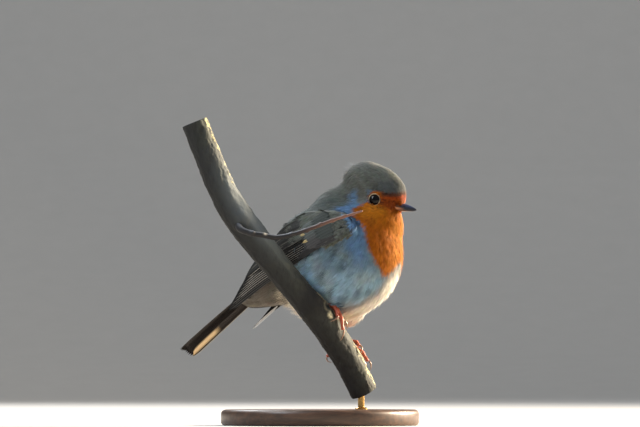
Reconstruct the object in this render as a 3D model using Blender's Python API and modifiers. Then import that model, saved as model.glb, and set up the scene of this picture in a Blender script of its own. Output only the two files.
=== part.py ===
"""European robin (Erithacus rubecula), a still, life-size model on a cut length of branch.

World frame: metres, +Z up, origin at the centre of the round base's underside.  The robin is
built in a frame of its own, +X forward, +Y to its left, +Z up, carried by the empty "robin",
which turns it a little towards -Y and leans it onto its left side.
"""

import math

import bmesh
import bpy
import numpy as np
from mathutils import Matrix, Vector
from mathutils.bvhtree import BVHTree

MM = 0.001
GAP = 0.3 * MM  # bark_room between solids that meet

# ---- how the robin stands ------------------------------------------------------------------
ROBIN_PLACE = (5.0, 10.0, 73.5)
ROBIN_TURN = math.radians(-20.0)  # about Z: the bill swings towards -Y
ROBIN_LEAN = math.radians(-4.0)  # about its own X: the left side is lower

# ---- body: (centre, half sizes along / across / up, nose-up pitch in degrees), in mm --------
BODY_MASSES = {
    "breast": ((5.6, 0.0, 6.0), (30.6, 25.0, 28.6), 35.0),
    "mantle": ((-9.0, 0.0, 13.0), (24.0, 20.0, 15.5), 37.0),
    "rump": ((-27.0, 0.0, 1.0), (19.0, 12.5, 10.0), 38.0),
    "vent": ((-26.0, 0.0, -8.5), (21.0, 10.5, 9.0), 12.0),
    "belly": ((1.0, 0.0, -9.0), (21.0, 19.0, 15.5), 22.0),
    "throat": ((21.5, 0.0, 20.5), (14.0, 14.5, 15.0), 0.0),
    "cheeks": ((20.0, 0.0, 29.0), (12.0, 12.6, 9.0), 0.0),
    "nape": ((3.5, 0.0, 26.8), (17.0, 14.0, 12.6), 37.0),
    "cranium": ((17.3, 0.0, 38.9), (11.8, 12.2, 13.4), 0.0),
    "crown": ((22.0, 0.0, 39.2), (13.0, 9.6, 11.2), -16.0),
    "forecrown": ((24.6, 0.0, 36.0), (12.6, 9.6, 11.8), 0.0),
}
THIGH = ((8.0, 8.5, -18.0), (6.5, 6.0, 8.8), -25.0)  # the left one; the right is tucked away
BODY_VOXEL = 1.2 * MM
BODY_SMOOTHING = 9
BODY_TRIANGLES = 1900

# Where the body is parted: a point of each cut and the way it faces, in the XZ plane, in mm
HEAD_CUT = ((20.0, 28.4), (0.39, 0.92))
NECK_CUT = ((16.0, 18.0), (0.49, 0.87))
RUMP_CUT = ((-21.0, 0.0), (0.92, 0.39))

# ---- eyes and bill, in mm -------------------------------------------------------------------
EYE_PLACE = (24.3, 32.7)  # X and Z
EYE_RADIUS = 3.1
EYE_DEPTH = 1.8  # its centre below the face
BILL_BASE = (31.5, 31.0)  # X and Z of the gape line where the bill enters the head
BILL_TIP = (42.2, 28.6)
BILL_HALF_WIDTH = 2.7
UPPER_BILL_HEIGHT = 2.7
LOWER_BILL_HEIGHT = 1.9

# ---- wings and tail, in mm ------------------------------------------------------------------
WING_BEND = (19.0, 20.0)  # X and Z of the wrist, at the front of the folded wing
WING_TIP = (-46.5, -15.0)
# Stations along the folded wing: distance from the bend, lower edge, upper edge, distance out
WING_STATIONS = (
    (0.0, -3.0, 3.0, 21.5),
    (6.0, -4.6, 9.5, 24.0),
    (20.0, -4.6, 16.0, 25.6),
    (34.0, -3.8, 16.0, 23.6),
    (50.0, -2.1, 11.4, 17.5),
    (56.0, -2.4, 8.7, 14.8),
    (60.0, -2.8, 6.9, 13.0),
    (64.0, -3.3, 4.4, 11.6),
    (68.0, -3.9, 2.5, 10.4),
    (72.0, -4.5, 0.1, 9.4),
    (75.5, -4.6, -1.5, 8.7),
    (78.0, -3.9, -2.3, 8.2),
)
COVERTS_END = 33.0
QUILLS_START = 33.3
SECONDARIES_END = 60.5
PRIMARIES_TOP = (3.6, 4.4)  # upper edge of the primaries at the coverts and at the tertial tips
WING_WRAP = (-6.0, 27.0)  # centre and half height of the arc that the wing lies on
WING_THICKNESS = {"coverts": 2.0, "secondaries": 1.5, "primaries": 1.3}
LEFT_WING_DROOP = (math.radians(4.2), math.radians(7.5))  # whole wing, and its tip more
LEFT_TIP_SHARE = 0.3  # the left wing's tip is folded narrower than the right one's
TIP_START = 56.0
TAIL_ROOT = (-30.4, -1.4)
TAIL_LENGTH = 58.3
TAIL_SLOPE = math.radians(38.5)
TAIL_ROLL = math.radians(16.0)  # about its own length: the left edge is lower
TAIL_HALF_WIDTHS = (4.6, 5.8)  # at the root and near the tip
TAIL_THICKNESS = 2.0
TAIL_ROOF = 0.8  # how far the outer feathers hang below the middle pair
TAIL_DROOP = 1.5  # how far its end hangs below its slope
TAIL_NOTCH = 1.3

# ---- perch: the middle line of the branch, with its radius, in mm, from the upper cut down ---
PERCH_LINE = (
    ((-58.9, -27.0, 142.5), 6.2),  # upper cut
    ((-46.5, -25.5, 112.0), 6.6),
    ((-36.5, -22.5, 95.5), 7.2),  # where the twig grows
    ((-15.2, -15.5, 68.9), 6.5),  # in front of the wing
    ((0.5, -6.5, 49.9), 7.0),  # under the right foot
    ((13.3, 1.5, 30.9), 6.8),  # under the left foot
    ((20.9, 6.0, 15.7), 6.6),  # lower cut
)
PERCH_SIDES = 12
KNOT = ((2.2, -10.6, 55.2), (2.7, 2.6, 2.9))  # the healed stub beside the right foot
TWIG_LINE = (
    ((-38.6, -25.0, 97.5), 1.7),
    ((-37.6, -30.8, 92.5), 1.6),
    ((-32.5, -32.2, 90.2), 1.3),
    ((-26.5, -31.5, 89.2), 1.25),
    ((-20.5, -30.2, 88.3), 1.1),
    ((-12.5, -28.4, 89.8), 1.0),
    ((-3.5, -26.6, 92.8), 0.9),
    ((5.5, -25.2, 96.3), 0.75),
    ((13.5, -24.2, 98.8), 0.6),
    ((20.9, -23.4, 101.2), 0.35),
)

# ---- feet: toes run over the bark.  A place there is (distance down the branch from its
# upper cut, degrees round it from the side that faces -Y towards +X).  Each toe has the place
# of its last joint and that of its claw's tip -----------------------------------------------
FEET = {
    "right": {
        "pad": (110.5, 112.0),
        "toes": {
            "inner": ((115.8, 58.0), (114.8, 24.0)),
            "middle": ((122.0, 42.0), (125.2, 14.0)),
            "outer": ((121.0, 94.0), (125.0, 90.0)),
            "hind": ((107.5, 190.0), (109.0, 224.0)),
        },
    },
    "left": {
        "pad": (131.5, 165.0),
        "toes": {
            "inner": ((134.8, 90.0), (137.6, 62.0)),
            "middle": ((143.0, 92.0), (147.0, 84.0)),
            "outer": ((143.0, 134.0), (147.0, 128.0)),
            "hind": ((132.0, 246.0), (134.5, 272.0)),
        },
    },
}
PAD_RADIUS = 1.9
TOE_RADII = (1.15, 0.8)
TOE_JOINTS = 3
TOE_POINTS = 10
FOOT_VOXEL = 0.3 * MM
FOOT_TRIANGLES = 560
CLAW_RADII = (0.6, 0.22)
SHIN_RADIUS = 0.95
ANKLES = {"right": (4.0, -9.0, -15.0), "left": (3.0, 9.5, -16.0)}  # in the robin's frame

# ---- stand, in mm ---------------------------------------------------------------------------
BASE_RADIUS = 47.0
BASE_HEIGHT = 7.5
BASE_STEPS = 40
ROD_PLACE = (19.6, 5.2)
ROD_RADIUS = 1.6
ROD_TOP = 23.0
ROD_SOCKET = 4.0

# ---- colours (sRGB hex), roughness, metallic ------------------------------------------------
FINISHES = {
    "plumage_olive": ("6B6552", 0.9, 0.0),
    "plumage_orange": ("C4641C", 0.9, 0.0),
    "plumage_pale": ("C9CCC8", 0.9, 0.0),
    "quills": ("4F463D", 0.7, 0.0),
    "bill_horn": ("2E2A2C", 0.35, 0.0),
    "eye": ("0B0908", 0.05, 0.0),
    "leg_skin": ("A8563C", 0.55, 0.0),
    "claw_horn": ("5A3A2C", 0.4, 0.0),
    "bark": ("5D5A4A", 0.9, 0.0),
    "base_wood": ("3B2A20", 0.45, 0.0),
    "brass": ("B08D57", 0.3, 1.0),
}


def millimetres(point):
    return Vector(point) * MM


def clear_scene():
    for old in list(bpy.data.objects):
        bpy.data.objects.remove(old)


def collection(name):
    made = bpy.data.collections.new(name)
    bpy.context.scene.collection.children.link(made)
    return made


def finish(name):
    """The material of this name: a Principled BSDF with its colour, roughness and metallic."""
    found = bpy.data.materials.get(name)
    if found:
        return found
    hex_colour, roughness, metallic = FINISHES[name]
    made = bpy.data.materials.new(name)
    made.use_nodes = True
    shader = made.node_tree.nodes["Principled BSDF"]
    srgb = [int(hex_colour[i : i + 2], 16) / 255 for i in (0, 2, 4)]
    shader.inputs["Base Color"].default_value = [c**2.2 for c in srgb] + [1.0]
    shader.inputs["Roughness"].default_value = roughness
    shader.inputs["Metallic"].default_value = metallic
    return made


def mesh_object(name, bm, group, material=None, parent=None):
    """Turns a bmesh into a named object, with its faces pointing out."""
    bmesh.ops.recalc_face_normals(bm, faces=bm.faces)
    mesh = bpy.data.meshes.new(name)
    bm.to_mesh(mesh)
    bm.free()
    mesh.shade_smooth()
    made = bpy.data.objects.new(name, mesh)
    group.objects.link(made)
    made.parent = parent
    if material:
        mesh.materials.append(finish(material))
    else:
        made.hide_render = True
        made.display_type = "WIRE"
    return made


def evaluated_mesh(obj):
    """A copy of the object's mesh with its modifiers applied, in the object's own space."""
    graph = bpy.context.evaluated_depsgraph_get()
    graph.update()
    return bpy.data.meshes.new_from_object(obj.evaluated_get(graph))


def apply_modifiers(obj):
    mesh = evaluated_mesh(obj)
    obj.modifiers.clear()
    obj.data = mesh


def boolean(obj, cutter, operation="DIFFERENCE"):
    modifier = obj.modifiers.new(operation.lower(), "BOOLEAN")
    modifier.operation = operation
    modifier.object = cutter
    modifier.solver = "EXACT"


def ellipsoid(bm, mass, swell=0.0, segments=24, rings=14, side=1.0):
    """Adds a mass, grown by swell, to a bmesh; side -1 puts it on the robin's right."""
    (x, y, z), half_sizes, pitch = mass
    place = Matrix.Translation(millimetres((x, y * side, z)))
    turn = Matrix.Rotation(-math.radians(pitch), 4, "Y")
    size = Matrix.Diagonal([h * MM + swell for h in half_sizes] + [1.0])
    bmesh.ops.create_uvsphere(
        bm, u_segments=segments, v_segments=rings, radius=1.0, matrix=place @ turn @ size
    )


def smooth_line(stations, count):
    """Points and radii evenly spread on a Catmull-Rom curve through (point, radius) stations."""
    rows = np.array([[*point, radius] for point, radius in stations])
    rows = np.vstack([2 * rows[0] - rows[1], rows, 2 * rows[-1] - rows[-2]])
    fine = []
    for a, b, c, d in zip(rows[:-3], rows[1:-2], rows[2:-1], rows[3:]):
        for t in np.linspace(0, 1, 40, endpoint=False):
            fine.append(
                0.5
                * (2 * b + (c - a) * t + (2 * a - 5 * b + 4 * c - d) * t**2
                   + (3 * b - a - 3 * c + d) * t**3)
            )
    fine = np.array(fine + [rows[-2]])
    along = np.r_[0, np.cumsum(np.linalg.norm(np.diff(fine[:, :3], axis=0), axis=1))]
    wanted = np.linspace(0, along[-1], count)
    spread = np.stack([np.interp(wanted, along, column) for column in fine.T], axis=1)
    return [Vector(row[:3]) * MM for row in spread], [row[3] * MM for row in spread]


def tube(name, points, radii, group, material=None, parent=None, resolution=2):
    """A round tube through the points, its radius changing along it, with closed ends."""
    curve = bpy.data.curves.new(name, "CURVE")
    curve.dimensions = "3D"
    curve.bevel_depth = 1.0
    curve.bevel_resolution = resolution
    curve.use_fill_caps = True
    spline = curve.splines.new("POLY")
    spline.points.add(len(points) - 1)
    for spot, point, radius in zip(spline.points, points, radii):
        spot.co = (*point, 1.0)
        spot.radius = radius
    made = bpy.data.objects.new(name, curve)
    group.objects.link(made)
    mesh = evaluated_mesh(made)
    bpy.data.objects.remove(made)
    bm = bmesh.new()
    bm.from_mesh(mesh)
    bmesh.ops.remove_doubles(bm, verts=bm.verts, dist=0.001 * MM)
    return mesh_object(name, bm, group, material, parent)


def fused(name, strands, voxel, triangles, group, material=None):
    """Tubes that run into one another, as one light, closed solid."""
    bm = bmesh.new()
    for points, radii in strands:
        strand = tube("strand", points, radii, group)
        bm.from_mesh(strand.data)
        bpy.data.objects.remove(strand)
    made = mesh_object(name, bm, group, material)
    remesh = made.modifiers.new("fuse", "REMESH")
    remesh.mode = "VOXEL"
    remesh.voxel_size = voxel
    apply_modifiers(made)
    lighten = made.modifiers.new("lighten", "DECIMATE")
    lighten.ratio = triangles / (2 * len(made.data.polygons))
    apply_modifiers(made)
    if material:
        made.data.materials.clear()
        made.data.materials.append(finish(material))
    return made


# ---- perch and stand ------------------------------------------------------------------------
class Perch:
    """The branch's middle line, and places over its bark."""

    def __init__(self):
        self.points, self.radii = smooth_line(PERCH_LINE, 160)
        steps = [(b - a).length for a, b in zip(self.points, self.points[1:])]
        self.along = np.r_[0.0, np.cumsum(steps)]

    def place(self, down, degrees, lift):
        """The point this far down the branch and round it, lifted off the bark, in metres."""
        centre = Vector([np.interp(down, self.along, c) for c in zip(*self.points)])
        radius = float(np.interp(down, self.along, self.radii))
        ahead = Vector([np.interp(down + MM, self.along, c) for c in zip(*self.points)])
        tangent = (ahead - centre).normalized()
        front = Vector((0.0, -1.0, 0.0))
        front = (front - tangent * front.dot(tangent)).normalized()
        side = front.cross(tangent)
        angle = math.radians(degrees)
        return centre + (front * math.cos(angle) + side * math.sin(angle)) * (radius + lift)


def make_branch(parts, cutters):
    points, radii = smooth_line(PERCH_LINE, 19)
    resolution = (PERCH_SIDES - 4) // 2
    branch = tube("perch_branch", points, radii, parts, "bark", resolution=resolution)
    knot = bmesh.new()
    ellipsoid(knot, (*KNOT, 30.0), segments=12, rings=8)
    boolean(branch, mesh_object("knot", knot, cutters), "UNION")
    wide = [r + GAP for r in radii]
    bark_room = tube("branch_room", points, wide, cutters, resolution=resolution)
    wide_knot = bmesh.new()
    ellipsoid(wide_knot, (*KNOT, 30.0), swell=GAP, segments=12, rings=8)
    boolean(bark_room, mesh_object("knot_room", wide_knot, cutters), "UNION")
    return branch, bark_room


def make_twig(parts, bark_room):
    points, radii = smooth_line(TWIG_LINE, 20)
    twig = tube("perch_twig", points, radii, parts, "bark", resolution=1)
    boolean(twig, bark_room)


def make_base(parts, cutters):
    """A turned round foot with an eased top edge, and a blind hole for the rod."""
    top, ease, waist = BASE_HEIGHT, 2.2, 0.9
    profile = [(0.0, 0.0), (BASE_RADIUS - waist, 0.0), (BASE_RADIUS, waist)]
    profile.append((BASE_RADIUS, top - ease))
    for step in range(1, 4):
        turn = math.radians(30 * step)
        profile.append(
            (BASE_RADIUS - ease + ease * math.cos(turn), top - ease + ease * math.sin(turn))
        )
    profile.append((0.0, top))
    bm = bmesh.new()
    spots = [bm.verts.new(millimetres((x, 0.0, z))) for x, z in reversed(profile)]
    for a, b in zip(spots, spots[1:]):
        bm.edges.new((a, b))
    bmesh.ops.spin(
        bm, geom=bm.verts[:] + bm.edges[:], cent=(0, 0, 0), axis=(0, 0, 1),
        angle=math.tau, steps=BASE_STEPS, use_merge=True,
    )
    bmesh.ops.remove_doubles(bm, verts=bm.verts, dist=0.01 * MM)
    base = mesh_object("stand_base", bm, parts, "base_wood")
    base.data.set_sharp_from_angle(angle=math.radians(35))
    hole = rod_tube("rod_hole", BASE_HEIGHT - ROD_SOCKET, GAP, cutters)
    boolean(base, hole)
    return hole


def rod_tube(name, bottom, swell, group, material=None):
    x, y = ROD_PLACE
    ends = [millimetres((x, y, bottom)), millimetres((x, y, ROD_TOP)) + Vector((0, 0, swell))]
    radius = ROD_RADIUS * MM + swell
    return tube(name, ends, [radius, radius], group, material, resolution=6)


def make_stand(parts, cutters, branch):
    hole = make_base(parts, cutters)
    rod_tube("stand_rod", BASE_HEIGHT - ROD_SOCKET + GAP / MM, 0.0, parts, "brass")
    boolean(branch, hole)


# ---- body -----------------------------------------------------------------------------------
def whole_body(cutters, robin):
    """All the soft masses run together into one smooth skin, as a light mesh."""
    bm = bmesh.new()
    for mass in BODY_MASSES.values():
        ellipsoid(bm, mass)
    body = mesh_object("whole_body", bm, cutters, parent=robin)
    remesh = body.modifiers.new("fuse", "REMESH")
    remesh.mode = "VOXEL"
    remesh.voxel_size = BODY_VOXEL
    relax = body.modifiers.new("relax", "SMOOTH")
    relax.factor = 0.5
    relax.iterations = BODY_SMOOTHING
    apply_modifiers(body)
    lighten = body.modifiers.new("lighten", "DECIMATE")
    lighten.ratio = BODY_TRIANGLES / (2 * len(body.data.polygons))
    lighten.use_symmetry = True
    lighten.symmetry_axis = "Y"
    apply_modifiers(body)
    return body


def slice_of(name, body, cuts, group, material, robin):
    """The part of the body on the kept side of each cut; a cut is (place, facing, side)."""
    bm = bmesh.new()
    bm.from_mesh(body.data)
    for (x, z), (nx, nz), side in cuts:
        normal = Vector((nx, 0.0, nz)).normalized() * side
        place = millimetres((x, 0.0, z)) + normal * GAP / 2
        bmesh.ops.bisect_plane(
            bm, geom=bm.verts[:] + bm.edges[:] + bm.faces[:], dist=0.01 * MM,
            plane_co=place, plane_no=normal, clear_inner=True,
        )
        rim = [e for e in bm.edges if e.is_boundary]
        bmesh.ops.holes_fill(bm, edges=rim, sides=0)
    bmesh.ops.triangulate(bm, faces=bm.faces)
    return mesh_object(name, bm, group, material, robin)


def make_body(parts, body, robin):
    head = slice_of("head", body, [(*HEAD_CUT, 1)], parts, "plumage_olive", robin)
    neck_cuts = [(*HEAD_CUT, -1), (*NECK_CUT, 1)]
    neck = slice_of("neck", body, neck_cuts, parts, "plumage_orange", robin)
    trunk_cuts = [(*NECK_CUT, -1), (*RUMP_CUT, 1)]
    trunk = slice_of("trunk", body, trunk_cuts, parts, "plumage_pale", robin)
    rump = slice_of("rump", body, [(*RUMP_CUT, -1)], parts, "plumage_pale", robin)
    return head, neck, trunk, rump


def make_eyes(parts, cutters, head, body_tree, robin):
    x, z = EYE_PLACE
    for side, name in ((1, "left"), (-1, "right")):
        face = body_tree.ray_cast(millimetres((x, 40.0 * side, z)), Vector((0, -side, 0)))[0]
        mass = ((x, face.y / MM - EYE_DEPTH * side, z), [EYE_RADIUS] * 3, 0.0)
        ball = bmesh.new()
        ellipsoid(ball, mass, segments=14, rings=8)
        mesh_object(f"eye_{name}", ball, parts, "eye", robin)
        socket = bmesh.new()
        ellipsoid(socket, mass, swell=GAP, segments=14, rings=8)
        boolean(head, mesh_object(f"socket_{name}", socket, cutters, parent=robin))


def bill_half(name, upper, swell, group, material, robin):
    """One jaw of the bill: a tapering wedge, flat on the gape line, round outside."""
    base, tip = millimetres((BILL_BASE[0], 0, BILL_BASE[1])), millimetres((BILL_TIP[0], 0, BILL_TIP[1]))
    up = 1.0 if upper else -1.0
    height = (UPPER_BILL_HEIGHT if upper else LOWER_BILL_HEIGHT) * MM
    axis = tip - base
    reach = 1.0 if upper else 0.94
    lift = Vector((0, 0, up * GAP / 2))
    bm = bmesh.new()
    rings = []
    for share in (0.0, 0.2, 0.42, 0.64, 0.84, 1.0):
        taper = (1 - share) ** 0.62 * 0.93 + 0.07
        droop = Vector((0, 0, -0.5 * MM * (share * reach) ** 3))
        centre = base + axis * share * reach + droop + lift - Vector((0, 0, up * swell))
        width = BILL_HALF_WIDTH * MM * taper * (1 if upper else 0.88) + swell
        tall = height * taper + 2 * swell
        ring = []
        for step in range(7):
            turn = math.pi * step / 6
            side = Vector((0, width * math.cos(turn), up * tall * math.sin(turn)))
            ring.append(bm.verts.new(centre + side))
        rings.append(ring)
    for a, b in zip(rings, rings[1:]):
        for i in range(7):
            bm.faces.new((a[i], a[(i + 1) % 7], b[(i + 1) % 7], b[i]))
    bm.faces.new(rings[0])
    bm.faces.new(rings[-1])
    bmesh.ops.triangulate(bm, faces=bm.faces)
    return mesh_object(name, bm, group, material, robin)


def make_bill(parts, cutters, head, robin):
    for name, upper in (("bill_upper", True), ("bill_lower", False)):
        bill_half(name, upper, 0.0, parts, "bill_horn", robin)
        boolean(head, bill_half(f"{name}_slot", upper, GAP, cutters, None, robin))


# ---- wings and tail -------------------------------------------------------------------------
def wing_place(body_tree, along, share, low_high, side, droop, clear):
    """A point of the folded wing: along from the bend, share of the way from edge to edge."""
    stations = np.array(WING_STATIONS)
    low, high = low_high(along)
    out = float(np.interp(along, stations[:, 0], stations[:, 3]))
    across = low + (high - low) * share
    bend, tip = Vector(WING_BEND), Vector(WING_TIP)
    line = (tip - bend).normalized()
    rise = Vector((line.y, -line.x))
    flat = bend + line * along + rise * across
    wrap = min(0.98, abs(across - WING_WRAP[0]) / WING_WRAP[1])
    out *= math.sqrt(1 - wrap**2)
    flat = bend + Matrix.Rotation(droop[0] * min(1.0, along / 12.0), 2) @ (flat - bend)
    if along > TIP_START:
        hinge = bend + Matrix.Rotation(droop[0], 2) @ (line * TIP_START)
        flat = hinge + Matrix.Rotation(droop[1], 2) @ (flat - hinge)
    outside = millimetres((flat.x, side * 60.0, flat.y))
    hit = body_tree.ray_cast(outside, Vector((0, -side, 0)))[0]
    if hit is not None:
        out = max(out, abs(hit.y) / MM)
    point = millimetres((flat.x, side * out, flat.y))
    skin, normal = body_tree.find_nearest(point)[:2]
    lack = clear * MM - (point - skin).dot(normal)
    return point + normal * max(0.0, lack)


def wing_blade(name, spans, low_high, body_tree, side, droop, thickness, clear):
    """A curved plate that lies on the flank, thickened outwards."""
    start, end, columns, rows = spans
    bm = bmesh.new()
    bmesh.ops.create_grid(bm, x_segments=columns, y_segments=rows, size=0.5)
    for vert in bm.verts:
        along = start + (end - start) * (vert.co.x + 0.5)
        share = vert.co.y + 0.5
        vert.co = wing_place(body_tree, along, share, low_high, side, droop, clear)
    bmesh.ops.recalc_face_normals(bm, faces=bm.faces)
    bm.normal_update()
    if sum(f.normal.y * f.calc_area() for f in bm.faces) * side < 0:
        bmesh.ops.reverse_faces(bm, faces=bm.faces)
    bmesh.ops.solidify(bm, geom=bm.faces[:], thickness=-thickness * MM)
    return bm


def make_wing(parts, body_tree, side, name, droop, robin):
    stations = np.array(WING_STATIONS)

    def edges(along):
        low, high = (float(np.interp(along, stations[:, 0], stations[:, k])) for k in (1, 2))
        fold = 0.0 if side < 0 else min(1.0, max(0.0, (along - 44.0) / 16.0))
        return low, low + (high - low) * (1 - (1 - LEFT_TIP_SHARE) * fold)

    def primary_top(along):
        share = (along - QUILLS_START) / (SECONDARIES_END - QUILLS_START)
        return PRIMARIES_TOP[0] + (PRIMARIES_TOP[1] - PRIMARIES_TOP[0]) * min(1.0, share)

    def secondary_edges(along):
        low = min(primary_top(along), edges(along)[1] - 1.2) + 0.3
        share = (along - QUILLS_START) / (SECONDARIES_END - QUILLS_START)
        narrowing = max(0.25, 1 - max(0.0, share - 0.6) ** 2 * 1.5)
        return low, low + (edges(along)[1] - low) * narrowing

    def primary_edges(along):
        low, high = edges(along)
        if along < SECONDARIES_END + 1.0:
            high -= 1.2
        return low, min(primary_top(along), high)

    blades = {
        "coverts": ((0.0, COVERTS_END, 8, 6), edges),
        "secondaries": ((QUILLS_START, SECONDARIES_END + 1.0, 7, 4), secondary_edges),
        "primaries": ((QUILLS_START, WING_STATIONS[-1][0], 10, 3), primary_edges),
    }
    for kind, (spans, low_high) in blades.items():
        bm = wing_blade(
            kind, spans, low_high, body_tree, side, droop, WING_THICKNESS[kind], 0.8
        )
        material = "plumage_olive" if kind == "coverts" else "quills"
        mesh_object(f"wing_{name}_{kind}", bm, parts, material, robin)


def tail_fan(name, swell, group, material, robin):
    """The closed tail: a long flat fan, roofed along the middle and notched at the end."""
    bm = bmesh.new()
    bmesh.ops.create_grid(bm, x_segments=10, y_segments=8, size=0.5)
    slope = Vector((-math.cos(TAIL_SLOPE), 0.0, -math.sin(TAIL_SLOPE)))
    up = Vector((-math.sin(TAIL_SLOPE), 0.0, math.cos(TAIL_SLOPE)))
    root = millimetres((TAIL_ROOT[0], 0.0, TAIL_ROOT[1]))
    for vert in bm.verts:
        share, across = vert.co.x + 0.5, 2 * vert.co.y
        width = TAIL_HALF_WIDTHS[0] + (TAIL_HALF_WIDTHS[1] - TAIL_HALF_WIDTHS[0]) * share**0.7
        corner = 3.0 * max(0.0, abs(across) - 0.72) ** 2 / 0.28**2
        notch = TAIL_NOTCH * max(0.0, 1 - abs(across) / 0.6)
        along = share * (TAIL_LENGTH - (corner + notch) * share**6) * MM
        along += (2 * share - 1) * 2 * swell
        hang = TAIL_ROOF * across**2 * MM
        vert.co = Vector((0.0, across * (width * MM + 2 * swell), 0.0)) - up * hang
        vert.co = root + slope * along + Matrix.Rotation(TAIL_ROLL, 3, slope) @ vert.co
        vert.co -= up * TAIL_DROOP * share**2 * MM
    bmesh.ops.recalc_face_normals(bm, faces=bm.faces)
    bm.normal_update()
    if sum(f.normal.dot(up) for f in bm.faces) > 0:
        bmesh.ops.reverse_faces(bm, faces=bm.faces)
    for vert in bm.verts:
        vert.co += up * swell
    thickness = TAIL_THICKNESS * MM + 2 * swell
    bmesh.ops.solidify(bm, geom=bm.faces[:], thickness=-thickness)
    return mesh_object(name, bm, group, material, robin)


def make_tail(parts, cutters, rump, robin):
    tail_fan("tail", 0.0, parts, "quills", robin)
    boolean(rump, tail_fan("tail_slot", 1.8 * GAP, cutters, None, robin))


# ---- legs and feet --------------------------------------------------------------------------
def toe_line(perch, foot, toe):
    """A toe's middle line over the bark, from the pad to its last joint, arched at the joints."""
    (down, round_), (end_down, end_round) = foot["pad"], foot["toes"][toe][0]
    points, radii = [], []
    for step in range(TOE_POINTS):
        share = step / (TOE_POINTS - 1)
        radius = TOE_RADII[0] + (TOE_RADII[1] - TOE_RADII[0]) * share
        radius *= 1 + 0.12 * math.cos(math.tau * TOE_JOINTS * share)
        arch = 0.5 * math.sin(math.pi * share)
        lift = (radius + arch) * MM + GAP
        at = (down + (end_down - down) * share) * MM
        points.append(perch.place(at, round_ + (end_round - round_) * share, lift))
        radii.append(radius * MM)
    return points, radii


def claw_line(perch, foot, toe):
    """The claw starts beyond the toe's end and curves down to the bark at its tip."""
    (down, round_), (tip_down, tip_round) = foot["toes"][toe]
    length = math.hypot(tip_down - down, math.radians(tip_round - round_) * 7.5)
    start = 0.6 / length
    points, radii = [], []
    for share in (0.0, 0.25, 0.5, 0.75, 1.0):
        step = start + (1 - start) * share
        radius = CLAW_RADII[0] + (CLAW_RADII[1] - CLAW_RADII[0]) * share
        arch = 0.75 * math.cos(math.pi / 2 * share) + 0.5 * math.sin(math.pi * share)
        lift = (0.3 + arch + radius) * MM
        at = (down + (tip_down - down) * step) * MM
        points.append(perch.place(at, round_ + (tip_round - round_) * step, lift))
        radii.append(radius * MM)
    return points, radii


def make_leg(parts, cutters, perch, name, robin_matrix):
    """A leg, its foot and claws; returns the room that they need in the soft parts."""
    foot = FEET[name]
    down, round_ = foot["pad"]
    pad_place = perch.place(down * MM, round_, PAD_RADIUS * MM + GAP)
    pad_line = [pad_place + Vector((0, 0, z * MM)) for z in (-1.2, -0.6, 0.0, 0.6, 1.2)]
    strands = [(pad_line, [r * MM for r in (0.9, 1.5, 1.7, 1.5, 0.9)])]
    claws = []
    for toe in foot["toes"]:
        strands.append(toe_line(perch, foot, toe))
        claws.append(claw_line(perch, foot, toe))
        tube(f"claw_{name}_{toe}", *claws[-1], parts, "claw_horn", resolution=1)
    fused(f"foot_{name}", strands, FOOT_VOXEL, FOOT_TRIANGLES, parts, "leg_skin")
    ankle = robin_matrix @ millimetres(ANKLES[name])
    away = (ankle - pad_place).normalized()
    start = pad_place + away * (PAD_RADIUS * MM + GAP)
    line = [start + (ankle - start) * share for share in (0.0, 0.33, 0.67, 1.0)]
    shin = SHIN_RADIUS * MM
    tube(f"leg_{name}", line, [shin * 1.1, shin, shin, shin * 1.1], parts, "leg_skin")
    strands += claws + [(line + [ankle + away * GAP], [shin * 1.1] * 5)]
    wide = [(points, [r + 1.8 * GAP for r in radii]) for points, radii in strands]
    return fused(f"foot_{name}_room", wide, 1.5 * FOOT_VOXEL, FOOT_TRIANGLES // 2, cutters)


def make_thigh(parts, cutters, trunk, robin):
    puff = bmesh.new()
    ellipsoid(puff, THIGH, segments=16, rings=10)
    wide = bmesh.new()
    ellipsoid(wide, THIGH, swell=GAP, segments=16, rings=10)
    boolean(trunk, mesh_object("thigh_room", wide, cutters, parent=robin))
    return mesh_object("thigh_left", puff, parts, "plumage_pale", robin)


def main():
    clear_scene()
    parts = collection("european_robin")
    cutters = collection("cutters")
    robin = bpy.data.objects.new("robin", None)
    parts.objects.link(robin)
    robin.matrix_world = (
        Matrix.Translation(millimetres(ROBIN_PLACE))
        @ Matrix.Rotation(ROBIN_TURN, 4, "Z")
        @ Matrix.Rotation(ROBIN_LEAN, 4, "X")
    )
    bpy.context.view_layer.update()

    branch, bark_room = make_branch(parts, cutters)
    make_twig(parts, bark_room)
    make_stand(parts, cutters, branch)

    body = whole_body(cutters, robin)
    head, neck, trunk, rump = make_body(parts, body, robin)
    body_tree = BVHTree.FromPolygons(
        [v.co for v in body.data.vertices], [p.vertices for p in body.data.polygons]
    )
    make_eyes(parts, cutters, head, body_tree, robin)
    make_bill(parts, cutters, head, robin)
    make_wing(parts, body_tree, -1, "right", (0.0, 0.0), robin)
    make_wing(parts, body_tree, 1, "left", LEFT_WING_DROOP, robin)
    make_tail(parts, cutters, rump, robin)

    thigh = make_thigh(parts, cutters, trunk, robin)
    perch = Perch()
    for name in FEET:
        room = make_leg(parts, cutters, perch, name, robin.matrix_world)
        boolean(trunk, room)
        boolean(thigh, room)
    for soft in (trunk, rump, thigh):
        boolean(soft, bark_room)


main()
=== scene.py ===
"""A european robin on a cut branch: skin, feathers, bark and stand over the packed solids."""

import itertools
import math

import bmesh
import bpy
import numpy as np
from bpy.props import FloatProperty, FloatVectorProperty, IntProperty, PointerProperty
from mathutils import Matrix, Vector, noise
from mathutils.bvhtree import BVHTree


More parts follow.
